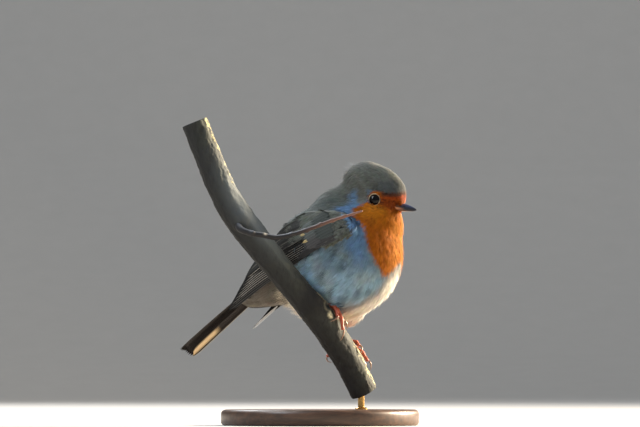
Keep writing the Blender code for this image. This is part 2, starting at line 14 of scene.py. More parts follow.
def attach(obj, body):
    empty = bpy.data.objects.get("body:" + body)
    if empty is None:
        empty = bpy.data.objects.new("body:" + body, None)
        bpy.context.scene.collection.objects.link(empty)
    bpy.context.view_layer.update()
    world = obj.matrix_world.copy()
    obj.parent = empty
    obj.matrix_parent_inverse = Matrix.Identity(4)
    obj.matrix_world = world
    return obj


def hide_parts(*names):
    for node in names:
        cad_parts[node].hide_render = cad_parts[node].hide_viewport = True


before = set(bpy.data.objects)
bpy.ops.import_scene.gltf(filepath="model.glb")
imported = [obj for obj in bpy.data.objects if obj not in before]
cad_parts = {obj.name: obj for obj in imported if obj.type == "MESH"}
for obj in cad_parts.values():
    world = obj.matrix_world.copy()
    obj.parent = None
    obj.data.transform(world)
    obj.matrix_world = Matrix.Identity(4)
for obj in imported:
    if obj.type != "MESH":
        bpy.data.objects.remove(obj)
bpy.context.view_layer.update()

bl_info = {
    "name": "European Robin",
    "version": (1, 0, 0),
    "blender": (4, 5, 0),
    "location": "3D View > Sidebar > Robin",
    "description": "Dresses the robin's solids with skin, feathers, horn, bark and a stand",
    "category": "Object",
}

MM = 0.001
FLESH = ("head", "neck", "trunk", "rump", "thigh_left")
SHOULDERS = ("wing_left_coverts", "wing_right_coverts")

# ---- the robin's own frame: millimetres, X forward, Y to its left, Z up ----
STANCE = (
    Matrix.Translation(Vector((5.0, 10.0, 73.5)) * MM)
    @ Matrix.Rotation(math.radians(-20.0), 4, "Z")
    @ Matrix.Rotation(math.radians(-4.0), 4, "X")
)
STANCE_ROWS = np.array(STANCE)
UNSTANCE_ROWS = np.array(STANCE.inverted())
BILL_ROOT = np.array((36.0, 0.0, 30.0))
GAPE = (30.6, 30.05)  # forward and up, where the bill's halves part
BILL_TIP = 42.9
EYE_PLACE = (24.3, 32.7)
EYE_RADIUS = 3.1
EYE_DEPTH = 1.8
EYE_OPENING = 2.62

# Which way feathers lie, at places on the side of the bird: forward, up, degrees below level
LIE = np.array(
    [
        (38.0, 36.0, -68.0), (32.0, 45.0, -30.0), (22.0, 50.0, 2.0), (12.0, 49.0, 35.0),
        (6.0, 43.0, 66.0), (30.0, 31.0, 6.0), (22.0, 33.0, 12.0), (12.0, 34.0, 32.0),
        (34.0, 25.0, 62.0), (26.0, 22.0, 50.0), (37.0, 12.0, 84.0), (35.0, 2.0, 78.0),
        (30.0, -8.0, 64.0), (22.0, -18.0, 42.0), (8.0, -24.0, 20.0), (-8.0, -22.0, 10.0),
        (-25.0, -20.0, 12.0), (-42.0, -20.0, 34.0), (-12.0, 25.0, 38.0), (-30.0, 8.0, 40.0),
        (0.0, 35.0, 40.0), (18.0, 8.0, 56.0), (5.0, 0.0, 44.0), (24.0, 12.0, 66.0),
        (-12.0, -4.0, 30.0), (10.0, 22.0, 44.0), (-36.0, -8.0, 38.0),
    ]
)

# Edges of the orange face and breast, in the same frame
ORANGE_REAR = np.array(
    [
        (-6.0, 29.4), (-3.7, 29.2), (-2.0, 28.7), (1.6, 27.5), (5.2, 26.1), (8.9, 24.8),
        (12.7, 23.8), (16.5, 22.2), (19.4, 20.0), (22.3, 16.9), (24.8, 15.2), (27.4, 14.6),
        (28.8, 16.0), (30.0, 18.6), (31.5, 21.3), (34.4, 21.4), (36.5, 23.5), (39.0, 26.0),
    ]
)  # height, forward
ORANGE_TOP = np.array(
    [(20.0, 35.6), (24.0, 36.4), (28.7, 36.4), (31.8, 36.6), (34.9, 37.2), (37.5, 38.5)]
)  # forward, height
ORANGE_BOTTOM = np.array(
    [(0.0, 2.6), (4.0, -0.4), (7.0, -3.4), (8.5, -5.2), (10.0, -5.6), (14.0, -5.6)]
)  # out from the middle, height
BELLY_LINE = np.array(
    [
        (-50.0, -4.0), (-25.0, -8.0), (-5.0, -13.0), (9.6, -12.5), (18.5, -11.5), (25.9, -7.5),
        (29.0, -4.5), (34.0, 0.0), (38.0, 3.0),
    ]
)  # forward, height of the white belly's upper edge

# ---- wings: distances along the folded wing and across it, in the robin's side plane ----
WING_BEND = (19.0, 20.0)
WING_TIP = (-46.5, -15.0)
WING_DROOP = {"right": (0.0, 0.0), "left": (math.radians(4.2), math.radians(7.5))}
WING_TIP_START = 56.0
WING_FOLD = {"right": 1.0, "left": 0.3}  # how much of its width the tip keeps
WING_EDGES = np.array(
    [
        (0.0, -3.0, 3.0), (6.0, -4.6, 9.5), (20.0, -4.6, 16.0), (34.0, -3.8, 16.0),
        (50.0, -2.1, 11.4), (56.0, -2.4, 8.7), (60.0, -2.8, 6.9), (64.0, -3.3, 4.4),
        (68.0, -3.9, 2.5), (72.0, -4.5, 0.1), (75.5, -4.6, -1.5), (78.0, -3.9, -2.3),
    ]
)  # distance along, lower edge, upper edge

# ---- tail ----
TAIL_ROOT = (-30.4, -1.4)
TAIL_SLOPE = math.radians(38.5)
TAIL_ROLL = math.radians(16.0)
TAIL_LENGTH = 58.3
TAIL_ROOF = 0.8
TAIL_DROOP = 1.5

# ---- feathers ----
COAT_SEED, WING_SEED = 7, 11
COAT_TRIES = 80000  # places tried for a tuft before the crowded ones are dropped
TUFT_STEPS = 3  # faces along one strand
CELL = 1.6  # side of the cells in which crowded tufts are looked for
NEAR_CELLS = tuple(itertools.product((-1, 0, 1), repeat=3))
TUFT_PATCH = 0.003  # width of one tuft's patch on the map of the skin
HEAD_STRANDS = {"face": 9, "crown": 12}
BARB_PITCH = 0.45  # in mm; real barbs are about 0.3 apart, too fine to show
COAT_REGIONS = (
    "face", "crown", "throat", "breast", "belly", "back", "flank_right", "flank_left", "vent",
    "shoulders",
)
OLIVE_REGIONS = ("crown", "back", "shoulders")

# ---- perch, twig and feet, as the solids have them ----
PERCH_LINE = (
    ((-58.9, -27.0, 142.5), 6.2), ((-46.5, -25.5, 112.0), 6.6), ((-36.5, -22.5, 95.5), 7.2),
    ((-15.2, -15.5, 68.9), 6.5), ((0.5, -6.5, 49.9), 7.0), ((13.3, 1.5, 30.9), 6.8),
    ((20.9, 6.0, 15.7), 6.6),
)
TWIG_LINE = (
    ((-38.6, -25.0, 97.5), 1.7), ((-37.6, -30.8, 92.5), 1.6), ((-32.5, -32.2, 90.2), 1.3),
    ((-26.5, -31.5, 89.2), 1.25), ((-20.5, -30.2, 88.3), 1.1), ((-12.5, -28.4, 89.8), 1.0),
    ((-3.5, -26.6, 92.8), 0.9), ((5.5, -25.2, 96.3), 0.75), ((13.5, -24.2, 98.8), 0.6),
    ((20.9, -23.4, 101.2), 0.35),
)
FEET = {
    "right": {
        "pad": (110.5, 112.0),
        "toes": {
            "inner": ((115.8, 58.0), (114.8, 24.0)),
            "middle": ((122.0, 42.0), (125.2, 14.0)),
            "outer": ((121.0, 94.0), (125.0, 90.0)),
            "hind": ((107.5, 190.0), (109.0, 224.0)),
        },
        "ankle": (4.0, -9.0, -15.0),
    },
    "left": {
        "pad": (131.5, 165.0),
        "toes": {
            "inner": ((134.8, 90.0), (137.6, 62.0)),
            "middle": ((143.0, 92.0), (147.0, 84.0)),
            "outer": ((143.0, 134.0), (147.0, 128.0)),
            "hind": ((132.0, 246.0), (134.5, 272.0)),
        },
        "ankle": (3.0, 9.5, -16.0),
    },
}
TOE_GAP = 0.3  # between a toe and the bark
SCUTE_LENGTH = 0.9
ROD_PLACE = (19.6, 5.2)
BASE_TOP, BASE_RADIUS, BASE_EASE = 7.5, 47.0, 2.2
WELD = 0.002 * MM  # closes the seam and the poles of a rolled-up grid


# ---- colour ----
def linear(hex_colour):
    """An sRGB hex colour as linear red, green and blue."""
    srgb = [int(hex_colour[i : i + 2], 16) / 255 for i in (0, 2, 4)]
    return tuple(c / 12.92 if c <= 0.04045 else ((c + 0.055) / 1.055) ** 2.4 for c in srgb)


def colour_property(name, hex_colour, description):
    return FloatVectorProperty(
        name=name, description=description, default=linear(hex_colour), subtype="COLOR",
        size=3, min=0.0, max=1.0,
    )


class RobinPlumage(bpy.types.PropertyGroup):
    """Colours and sizes of the feathers."""

    crown: colour_property("Crown", "61645E", "Olive grey-brown of the crown and nape")
    back: colour_property("Back", "606966", "Olive grey-brown of the back and shoulders")
    band: colour_property("Side band", "668AB0", "Blue-grey edge of the breast patch")
    # the flank's blue-grey is partly painted shade: the cool tint of sky light in shade, over a
    # paler buff-white flank
    flank: colour_property("Flank", "708A9B", "Pale blue-grey of the flanks")
    belly: colour_property("Belly", "F3ECDF", "White of the belly")
    vent: colour_property("Vent", "7D766A", "Buff of the undertail feathers")
    face: colour_property("Face", "B85E0E", "Deep orange of the forehead and face")
    breast: colour_property("Breast", "B06A10", "Orange of the throat and breast")
    quill: colour_property("Quills", "4C4B4B", "Grey-brown of the flight feathers")
    quill_edge: colour_property("Quill edges", "B5AFA4", "Paler edge of each flight feather")
    tail: colour_property("Tail", "251F1D", "Dark brown of the tail feathers")
    # a painted glow of back light shining through the end of the outermost tail feather
    tail_glow_paint: colour_property("Tail stripe", "EED0A0", "Golden light vane under the tail")
    covert_tip: colour_property("Covert tips", "C9B27A", "Buff spot on a few wing coverts")
    length: FloatProperty(
        name="Feather length", description="Length of a breast feather's visible part",
        default=7.5 * MM, min=4 * MM, max=12 * MM, unit="LENGTH",
    )
    spacing: FloatProperty(
        name="Feather spacing", description="Distance between breast feathers",
        default=1.05 * MM, min=0.8 * MM, max=4 * MM, unit="LENGTH",
    )
    strands: IntProperty(
        name="Strands", description="Strands in each body feather", default=18, min=6, max=30
    )


class RobinHorn(bpy.types.PropertyGroup):
    """Colours of the bill, eyes, legs and claws."""

    bill: colour_property("Bill", "3A3C48", "Blue-black horn of the bill")
    gape: colour_property("Gape", "C98A5E", "Pinkish skin along the gape")
    iris: colour_property("Iris", "1E100A", "Very dark brown of the iris")
    eyelid: colour_property("Eyelid", "D3BC94", "Buff ring of small feathers round the eye")
    leg: colour_property("Legs", "BF6046", "Orange-brown skin of the legs and toes")
    claw: colour_property("Claws", "8A6A55", "Horn of the claws")


class RobinPerch(bpy.types.PropertyGroup):
    """Colours and sizes of the branch, its twig and the stand."""

    bark: colour_property("Bark", "41433E", "Grey-brown of the bark")
    bark_dark: colour_property("Bark furrows", "171816", "Dark of the furrows")
    lichen: colour_property("Lichen", "B5AC80", "Pale green-yellow lichen")
    twig: colour_property("Twig", "19191C", "Violet-grey bark of the twig")
    twig_tip: colour_property("Twig tip", "805A4C", "Pinkish young end of the twig")
    wood: colour_property("Stand", "4A3324", "Waxed wood of the stand")
    furrow_depth: FloatProperty(
        name="Furrow depth", description="Depth of the bark's furrows", default=0.35 * MM,
        min=0.0, max=1 * MM, unit="LENGTH",
    )


class RobinStage(bpy.types.PropertyGroup):
    """Floor, light and camera."""

    floor: colour_property("Floor", "B4B2AE", "Pale floor and backdrop")
    distance: FloatProperty(
        name="Camera distance", description="From the camera to the robin", default=2.2,
        min=0.5, max=6.0, unit="LENGTH",
    )
    width: FloatProperty(
        name="Framed width", description="Width of the view at the robin", default=0.304,
        min=0.1, max=1.0, unit="LENGTH",
    )
    key: FloatProperty(
        name="Key light", description="Power of the warm light from the right", default=74.0,
        min=0.0, max=200.0, unit="POWER",
    )
    fill: FloatProperty(
        name="Fill light", description="Power of the cool soft light from the front",
        default=16.0, min=0.0, max=200.0, unit="POWER",
    )


# ---- small tools ----
def smoothstep(low, high, value):
    share = np.clip((value - low) / (high - low), 0.0, 1.0)
    return share * share * (3 - 2 * share)


def table(rows, at):
    """The second column of a table where its first column reaches at."""
    return np.interp(at, rows[:, 0], rows[:, 1])


def noise_at(spots):
    """Smooth noise at each of many spots."""
    return np.array([noise.noise(Vector(spot)) for spot in spots])


def mix(first, second, share):
    share = np.asarray(share)[..., None]
    return np.asarray(first) * (1 - share) + np.asarray(second) * share


def to_world(points):
    """Robin millimetres to world metres."""
    return (np.asarray(points) * MM) @ STANCE_ROWS[:3, :3].T + STANCE_ROWS[:3, 3]


def to_robin(points):
    """World metres to robin millimetres."""
    return (np.asarray(points) @ UNSTANCE_ROWS[:3, :3].T + UNSTANCE_ROWS[:3, 3]) / MM


def turned(vectors):
    """Directions of the robin's frame in the world."""
    return np.asarray(vectors) @ STANCE_ROWS[:3, :3].T


def unit(vectors):
    return vectors / np.maximum(np.linalg.norm(vectors, axis=-1, keepdims=True), 1e-9)


def vertex_places(mesh, kind="co"):
    """The vertices' places, or their normals."""
    places = np.empty(len(mesh.vertices) * 3)
    mesh.vertices.foreach_get(kind, places)
    return places.reshape(-1, 3)


def add_node(tree, kind, inputs=None, **settings):
    """Adds a node with its settings; inputs are values, or outputs to link from."""
    made = tree.nodes.new(kind)
    for key, value in settings.items():
        setattr(made, key, value)
    for socket, value in (inputs or {}).items():
        if isinstance(value, bpy.types.NodeSocket):
            tree.links.new(value, made.inputs[socket])
        else:
            made.inputs[socket].default_value = value
    return made


def new_material(name, **settings):
    """A material with a Principled shader: (its tree, the shader)."""
    made = bpy.data.materials.new(name)
    made.use_nodes = True
    shader = made.node_tree.nodes["Principled BSDF"]
    for socket, value in settings.items():
        shader.inputs[socket.replace("_", " ")].default_value = value
    return made, made.node_tree, shader


def ramp(tree, factor, stops, interpolation="LINEAR"):
    """A colour ramp through (position, linear colour) stops."""
    made = add_node(tree, "ShaderNodeValToRGB", {"Fac": factor})
    made.color_ramp.interpolation = interpolation
    while len(made.color_ramp.elements) < len(stops):
        made.color_ramp.elements.new(0.5)
    for element, (position, colour) in zip(made.color_ramp.elements, stops):
        element.position = position
        element.color = (*colour[:3], 1.0)
    return made.outputs["Color"]


def grey(value):
    return (value, value, value)


def finish_piece(piece, slot, *nodes):
    """Hands a finished piece to the frame, in place of the solids that it stands for."""
    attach(piece, "root")
    if nodes:
        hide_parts(*nodes)
    return piece


def new_object(name, mesh, *materials):
    made = bpy.data.objects.new(name, mesh)
    bpy.context.scene.collection.objects.link(made)
    for material in materials:
        mesh.materials.append(material)
    return made


def object_from_bmesh(name, bm, *materials):
    mesh = bpy.data.meshes.new(name)
    bm.to_mesh(mesh)
    bm.free()
    mesh.shade_smooth()
    return new_object(name, mesh, *materials)


def store_colours(mesh, name, colours):
    """Stores one linear colour for each vertex."""
    layer = mesh.attributes.new(name, "FLOAT_COLOR", "POINT")
    full = np.ones((len(mesh.vertices), 4), np.float32)
    full[:, :3] = colours
    layer.data.foreach_set("color", full.ravel())


def wrapped(sides, rows, place, layer_name=None):
    """A closed skin: a grid rolled up round its first direction, placed by (turn, share).

    layer_name names a colour layer, and then place returns each spot with its colour.
    """
    bm = bmesh.new()
    bmesh.ops.create_grid(bm, x_segments=sides, y_segments=rows, size=0.5)
    layer = bm.verts.layers.float_color.new(layer_name) if layer_name else None
    for vert in bm.verts:
        turn = math.tau * round((vert.co.x + 0.5) * sides) / sides
        spot = place(turn % math.tau, vert.co.y + 0.5)
        if layer_name:
            spot, vert[layer] = spot
        vert.co = spot
    bmesh.ops.remove_doubles(bm, verts=bm.verts, dist=WELD)
    bmesh.ops.recalc_face_normals(bm, faces=bm.faces)
    return bm


def turned_solid(name, profile, centre, steps, material):
    """A solid turned on a lathe from a profile of (radius, height), in millimetres."""
    x, y = centre
    bm = bmesh.new()
    spots = [bm.verts.new(((x + r) * MM, y * MM, z * MM)) for r, z in profile]
    edges = [bm.edges.new(pair) for pair in zip(spots, spots[1:])]
    bmesh.ops.spin(
        bm, geom=spots + edges, cent=(x * MM, y * MM, 0), axis=(0, 0, 1), angle=math.tau,
        steps=steps, use_merge=True,
    )
    bmesh.ops.remove_doubles(bm, verts=bm.verts, dist=0.005 * MM)
    bmesh.ops.recalc_face_normals(bm, faces=bm.faces)
    piece = object_from_bmesh(name, bm, material)
    piece.data.set_sharp_from_angle(angle=math.radians(40))
    return piece


def smooth_line(stations, count):
    """Points and radii evenly spread on a Catmull-Rom curve through (point, radius) stations."""
    rows = np.array([[*point, radius] for point, radius in stations])
    rows = np.vstack([2 * rows[0] - rows[1], rows, 2 * rows[-1] - rows[-2]])
    fine = []
    for a, b, c, d in zip(rows[:-3], rows[1:-2], rows[2:-1], rows[3:]):
        for t in np.linspace(0, 1, 40, endpoint=False):
            cubic = 3 * b - a - 3 * c + d
            bent = 2 * a - 5 * b + 4 * c - d
            fine.append((2 * b + (c - a) * t + bent * t**2 + cubic * t**3) / 2)
    fine = np.array(fine + [rows[-2]])
    along = np.r_[0, np.cumsum(np.linalg.norm(np.diff(fine[:, :3], axis=0), axis=1))]
    wanted = np.linspace(0, along[-1], count)
    spread = np.stack([np.interp(wanted, along, column) for column in fine.T], axis=1)
    return spread[:, :3], spread[:, 3]


class Path:
    """A smooth line with a radius, in millimetres, and places round it."""

    def __init__(self, stations, front=(0.0, -1.0, 0.0), count=240):
        self.points, self.radii = smooth_line(stations, count)
        steps = np.linalg.norm(np.diff(self.points, axis=0), axis=1)
        self.along = np.r_[0.0, np.cumsum(steps)]
        self.length = self.along[-1]
        self.front = Vector(front)

    def frame(self, down):
        """Centre, tangent, front and side directions, and radius, this far along."""
        centre = Vector([np.interp(down, self.along, c) for c in self.points.T])
        low = max(0.0, min(down - 0.6, self.length - 1.2))
        behind = Vector([np.interp(low, self.along, c) for c in self.points.T])
        ahead = Vector([np.interp(low + 1.2, self.along, c) for c in self.points.T])
        tangent = (ahead - behind).normalized()
        front = (self.front - tangent * self.front.dot(tangent)).normalized()
        radius = float(np.interp(down, self.along, self.radii))
        return centre, tangent, front, front.cross(tangent), radius

    def place(self, down, degrees, lift):
        """The place over the surface this far along, this far round and this high."""
        centre, _, front, side, radius = self.frame(down)
        turn = math.radians(degrees)
        return centre + (front * math.cos(turn) + side * math.sin(turn)) * (radius + lift)


PERCH = Path(PERCH_LINE)


# ---- the body's surfaces ----
class Surface:
    """A closed skin in robin millimetres, for finding places and ways out."""

    def __init__(self, mesh):
        self.mesh = mesh
        self.places = to_robin(vertex_places(mesh))
        self.faces = [tuple(p.vertices) for p in mesh.polygons]
        self.tree = BVHTree.FromPolygons([Vector(p) for p in self.places], self.faces)

    def nearest(self, points):
        """For each point: the nearest place on the skin, and the way out there."""
        found = [self.tree.find_nearest(Vector(p))[:2] for p in points]
        return np.array([f[0] for f in found]), np.array([f[1] for f in found])

    def distance(self, points):
        return np.array([self.tree.find_nearest(Vector(p))[3] for p in points])


def absorb(bm, other):
    """Moves one bmesh into another."""
    mesh = bpy.data.meshes.new("copy")
    other.to_mesh(mesh)
    other.free()
    bm.from_mesh(mesh)
    bpy.data.meshes.remove(mesh)


def node_copy(bm, name, swell):
    """Adds a merged copy of a solid to a bmesh, with its walls moved out by swell."""
    extra = bmesh.new()
    extra.from_mesh(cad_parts[name].data)
    bmesh.ops.remove_doubles(extra, verts=extra.verts, dist=0.004 * MM)
    extra.normal_update()
    moved = [(v, v.co + v.normal * swell) for v in extra.verts]
    for vert, place in moved:
        vert.co = place
    absorb(bm, extra)


def eye_frame(side, face):
    """The eye's centre and the way that it looks, in robin millimetres."""
    x, z = EYE_PLACE
    hit = face.tree.ray_cast(Vector((x, 40.0 * side, z)), Vector((0, -side, 0)))[0]
    centre = Vector((x, hit.y - EYE_DEPTH * side, z))
    return centre, Vector((0.24, side * 0.96, 0.06)).normalized()


def gape_height(forward):
    """Height of the line where the bill's halves meet."""
    return GAPE[1] - 0.134 * (forward - GAPE[0])


def add_ball(bm, centre, radius, subdivisions=3):
    """Adds a ball round a place of the robin's frame."""
    place = Matrix.Translation(STANCE @ (Vector(centre) * MM))
    bmesh.ops.create_icosphere(bm, subdivisions=subdivisions, radius=radius * MM, matrix=place)


def add_scapular_pads(bm):
    """Balls that fill the valley between the back and the upper edge of each folded wing."""
    for side in ("left", "right"):
        plane = WingPlane(side)
        for along in np.arange(4.0, 47.0, 2.6):
            high = plane.edges(along)[1]
            edge = plane.place(along, high - 1.2, -2.6)
            for step in range(5):
                inward = Vector((0.0, -2.6 * step * plane.side, 0.25 * step))
                add_ball(bm, edge + inward, 2.7, 2)


def tail_spot(places):
    """How far down the tail each place is from its root, and how high over its middle."""
    gap = places[:, (0, 2)] - np.array(TAIL_ROOT)
    slope, rise = math.cos(TAIL_SLOPE), math.sin(TAIL_SLOPE)
    return -gap[:, 0] * slope - gap[:, 1] * rise, gap[:, 1] * slope - gap[:, 0] * rise


def fused_body(names, voxel, smoothing):
    """The named solids run together into one smooth skin, as a mesh."""
    bm = bmesh.new()
    for name in names:
        node_copy(bm, name, 0.3 * MM)
    # small balls fill the eye sockets, and one fills the slot for the bill
    x, z = EYE_PLACE
    for side in (1, -1):
        add_ball(bm, (x, 7.2 * side, z), 2.6)
    add_ball(bm, (33.6, 0.0, 30.6), 3.0)
    if SHOULDERS[0] in names:
        add_scapular_pads(bm)
    body = object_from_bmesh("fused_body", bm)
    remesh = body.modifiers.new("fuse", "REMESH")
    remesh.mode = "VOXEL"
    remesh.voxel_size = voxel * MM
    relax = body.modifiers.new("relax", "SMOOTH")
    relax.factor = 0.5
    relax.iterations = smoothing
    graph = bpy.context.evaluated_depsgraph_get()
    mesh = bpy.data.meshes.new_from_object(body.evaluated_get(graph))
    bpy.data.objects.remove(body)
    places = to_robin(vertex_places(mesh))
    # rump and vent taper to the root of the tail, above it and below
    up = np.array((-math.sin(TAIL_SLOPE), math.cos(TAIL_SLOPE)))
    along, height = tail_spot(places)
    lowest = 11.8 - 0.62 * (along - 8.3)
    highest = 1.4 + 0.45 * np.maximum(0.0, 13.0 - along)
    below = np.maximum(0.0, -height - lowest) * smoothstep(-3.0, 5.0, along)
    above = np.maximum(0.0, height - highest) * smoothstep(-9.0, -2.0, along)
    places[:, (0, 2)] += up * (0.85 * (below - above))[:, None]
    # the feathers draw in on both sides of the bill, so that its base is bare
    f, l, z = places.T
    drawn_in = smoothstep(31.8, 33.6, f) * smoothstep(3.6, 1.8, np.abs(z - gape_height(f) - 0.3))
    places[:, 1] = np.where(np.abs(l) > 2.7, l + (np.sign(l) * 2.7 - l) * drawn_in, l)
    mesh.vertices.foreach_set("co", to_world(places).ravel())
    mesh.update()
    return mesh


def body_weights(places):
    """How far each place belongs to the face, the head, the belly and the vent, from 0 to 1."""
    f, l, z = places.T
    head = smoothstep(24.0, 33.0, z + 0.25 * (f - 20.0)) * smoothstep(2.0, 8.0, f)
    eye_x, eye_z = EYE_PLACE
    eye_gap = np.sqrt((f - eye_x) ** 2 + (np.abs(l) - 9.0) ** 2 + (z - eye_z) ** 2)
    bill_gap = np.linalg.norm(places - BILL_ROOT, axis=1)
    face = np.maximum(1 - smoothstep(3.5, 9.0, eye_gap), 1 - smoothstep(4.0, 12.0, bill_gap))
    belly = smoothstep(2.0, -14.0, z) * smoothstep(-30.0, -8.0, f)
    vent = smoothstep(-16.0, -26.0, f) * smoothstep(0.0, -8.0, z + 0.3 * (f + 30))
    return face, head, belly, vent


def coat_depth(places):
    """Depth of the feathers over the skin, in millimetres."""
    face, head, belly, vent = body_weights(places)
    depth = 3.2 + 1.3 * belly + 0.4 * vent
    depth = depth * (1 - head) + 1.9 * head
    # thin over the narrow end of the rump
    narrow = smoothstep(0.0, 9.0, tail_spot(places)[0]) * smoothstep(-18.0, -30.0, places[:, 0])
    depth = depth * (1 - 0.85 * narrow)
    return depth * (1 - face) + 0.75 * face


def lie_of(places, normals):
    """Unit directions along the skin in which feathers point."""
    f, z = places[:, None, 0], places[:, None, 2]
    gaps = (f - LIE[None, :, 0]) ** 2 + (z - LIE[None, :, 1]) ** 2
    weights = 1.0 / (gaps + 6.0) ** 2
    angle = np.radians((weights * LIE[None, :, 2]).sum(1) / weights.sum(1))
    wanted = np.stack([-np.cos(angle), 0.08 * np.sign(places[:, 1]), -np.sin(angle)], axis=1)
    radial = unit(places - BILL_ROOT)
    near_bill = 1 - smoothstep(5.0, 14.0, np.linalg.norm(places - BILL_ROOT, axis=1))
    wanted = mix(wanted, radial, near_bill)
    along = wanted - normals * (wanted * normals).sum(1, keepdims=True)
    return unit(along)


def markings(places, colours):
    """The plumage colour at places of the robin's frame, the same on skin and feathers."""
    f, l, z = places.T
    out = np.abs(l)
    wobble = noise_at(places * 0.35) * 1.3
    crown, back, band_tone, flank, white, breast, rust = (
        np.array(getattr(colours, name))
        for name in ("crown", "back", "band", "flank", "belly", "breast", "face")
    )
    upper = mix(back, crown, smoothstep(30.0, 40.0, z))
    front_crown = smoothstep(24.0, 34.0, f) * smoothstep(36.0, 39.0, z)
    upper = mix(upper, crown * 0.78, front_crown)

    # loose pale tips stand up at the nape, their paleness partly a painted rim of back light
    nape = smoothstep(5.0, 1.5, np.hypot(f - 4.5, (z - 43.5) * 0.7)) * smoothstep(9.0, 5.0, out)
    nape = nape * (0.15 + 0.25 * smoothstep(-0.3, 0.6, wobble))
    upper = mix(upper, np.array((0.72, 0.73, 0.70)), nape)

    # the back gives way to the pale flank below the wing
    flank_line = np.interp(
        f, [-40.0, -24.0, -10.0, 0.0, 14.0, 17.5], [-16.0, -5.0, 6.0, 12.0, 20.0, 26.0]
    )
    lower = mix(band_tone, flank, smoothstep(24.0, 4.0, z + wobble))
    lower = mix(lower, flank, smoothstep(16.0, -2.0, f))
    # paler below the wing, partly pale tips and partly painted light, and painted shade in the
    # gaps between the flank's long feathers
    pale = smoothstep(-7.0, -1.0, z - 0.53 * f - 6.0) * smoothstep(9.0, 3.0, f)
    lower = mix(lower, flank * 1.35, 0.8 * pale)
    streaks = noise_at(np.stack([0.10 * (f + z), 0.2 * l, 0.30 * (z - f)], axis=1))
    # painted shade darkens the flank high up under the wing, and painted light brightens it low
    # down
    lower = lower * (0.85 + 1.1 * smoothstep(4.0, -13.0, z))[:, None]
    # painted light brightens the low rear of the flank beside the branch
    lit_rear = smoothstep(5.0, -9.0, f) * smoothstep(-15.0, -7.0, z)
    lower = np.minimum(lower * (1 + 0.95 * lit_rear)[:, None], 0.9)
    greyer = noise_at(places * (0.12, 0.1, 0.12) + (7.0, 0.0, 0.0))
    greyer = smoothstep(-0.1, 0.45, greyer) * smoothstep(14.0, 4.0, z)
    lower = mix(lower, lower * (1.2, 1.04, 0.93), greyer)
    lower = lower * (1 + 0.35 * streaks[:, None])
    lower = lower * (1 - 0.32 * smoothstep(0.25, 0.5, -streaks))[:, None]
    colour = mix(upper, lower, smoothstep(3.0, -3.0, z - flank_line + wobble))

    # a blue-grey band runs behind the orange, up the side of the neck to the ear
    rear = table(ORANGE_REAR, z)
    band_width = np.interp(z, [10.0, 20.0, 27.0, 34.0], [9.0, 7.0, 7.0, 9.0])
    band = smoothstep(band_width + 3.5, band_width - 2.5, rear - f + wobble)
    band = band * smoothstep(38.5, 34.5, z + 0.5 * wobble)
    broken = 0.8 + 0.2 * smoothstep(-0.4, 0.6, wobble)
    band = band * np.where(z > 30, broken, 1.0) * smoothstep(-8.0, 6.0, z)
    band = band * smoothstep(27.0, 21.0, f)
    side = smoothstep(3.0, 8.0, out)
    ear = smoothstep(4.2, 1.8, np.hypot(f - 18.5, (z - 34.0) * 0.8))
    colour = mix(colour, band_tone, band * side * (1 - 0.75 * ear))
    colour = mix(colour, crown * (1.15, 0.95, 0.7), ear * side * 0.6)
    # dark over the eye and forehead
    brow = smoothstep(6.0, 2.0, np.abs(z - 38.0)) * smoothstep(20.0, 28.0, f)
    colour = mix(colour, crown * (0.40, 0.45, 0.58), brow * 0.6)

    # white belly, greyed by painted shade away from its middle, and buff vent
    over_belly = z - (table(BELLY_LINE, f) - 7.0 * smoothstep(4.0, 12.0, out)) + 1.5 * wobble
    grey_belly = mix(flank, white, 0.35) * (0.85, 0.72, 0.62)
    colour = mix(colour, grey_belly, smoothstep(4.0, -3.0, over_belly))
    cream = smoothstep(-1.0, -6.0, over_belly) * smoothstep(11.0, 6.5, out)
    colour = mix(colour, white, cream)
    vent_top = np.interp(f, [-38.0, -30.0, -20.0, -10.0], [-8.0, -3.2, 0.5, 1.0])
    down_tail, over_tail = tail_spot(places)
    vent = smoothstep(-12.0, -26.0, f) * smoothstep(2.0, -3.0, z - vent_top)
    rump = smoothstep(-3.0, 2.0, down_tail) * smoothstep(-1.5, 0.5, over_tail)
    colour = mix(mix(colour, back, rump), np.array(colours.vent), vent * (1 - rump))

    # orange face, throat and breast
    top = table(ORANGE_TOP, f)
    orange = smoothstep(-0.9, 0.9, f - rear + 0.5 * wobble) * smoothstep(20.5, 18.5, out)
    orange = orange * smoothstep(-0.7, 0.7, top - z + 0.3 * wobble)
    orange = orange * smoothstep(-1.4, 1.4, z - table(ORANGE_BOTTOM, out) + 0.8 * wobble)
    # towards its sides the breast turns rustier and is painted darker, as painted shade
    tint = mix(breast, mix(breast, rust, 0.55) * 0.82, smoothstep(5.0, 13.0, out))
    tint = mix(tint, rust, smoothstep(20.0, 31.0, z) * smoothstep(18.0, 30.0, f))
    # painted shadow darkens the lores beside the bill
    lores = smoothstep(4.5, 1.5, np.hypot((f - 30.5) * 0.6, z - 31.5 + 0.2 * (f - 30.5)))
    forehead = smoothstep(32.0, 35.0, z) * smoothstep(27.0, 31.0, f)
    tint = mix(tint, rust * (0.62, 0.42, 0.6), lores * 0.75)
    tint = mix(tint, rust * (0.85, 0.5, 0.8), forehead * 0.9)
    dusk = smoothstep(25.0, 28.5, f) * smoothstep(27.5, 29.5, z)
    tint = tint * (1 - dusk[:, None] * (0.30, 0.28, 0.2))
    fore_edge = smoothstep(top - 3.0, top - 1.2, z + 0.5 * wobble) * smoothstep(26.0, 29.0, f)
    tint = mix(tint, crown * (0.45, 0.20, 0.13), fore_edge * 0.9)
    chin = smoothstep(5.5, 2.0, np.hypot(f - 28.0, z - 23.5))
    tint = mix(tint, breast * (1.3, 1.5, 2.0), chin * 0.25)
    cheek = smoothstep(5.5, 2.5, np.hypot((f - 24.0) * 0.7, z - 26.5))
    tint = mix(tint, breast * (1.15, 1.25, 1.2), cheek * 0.7)
    return mix(colour, tint, orange)


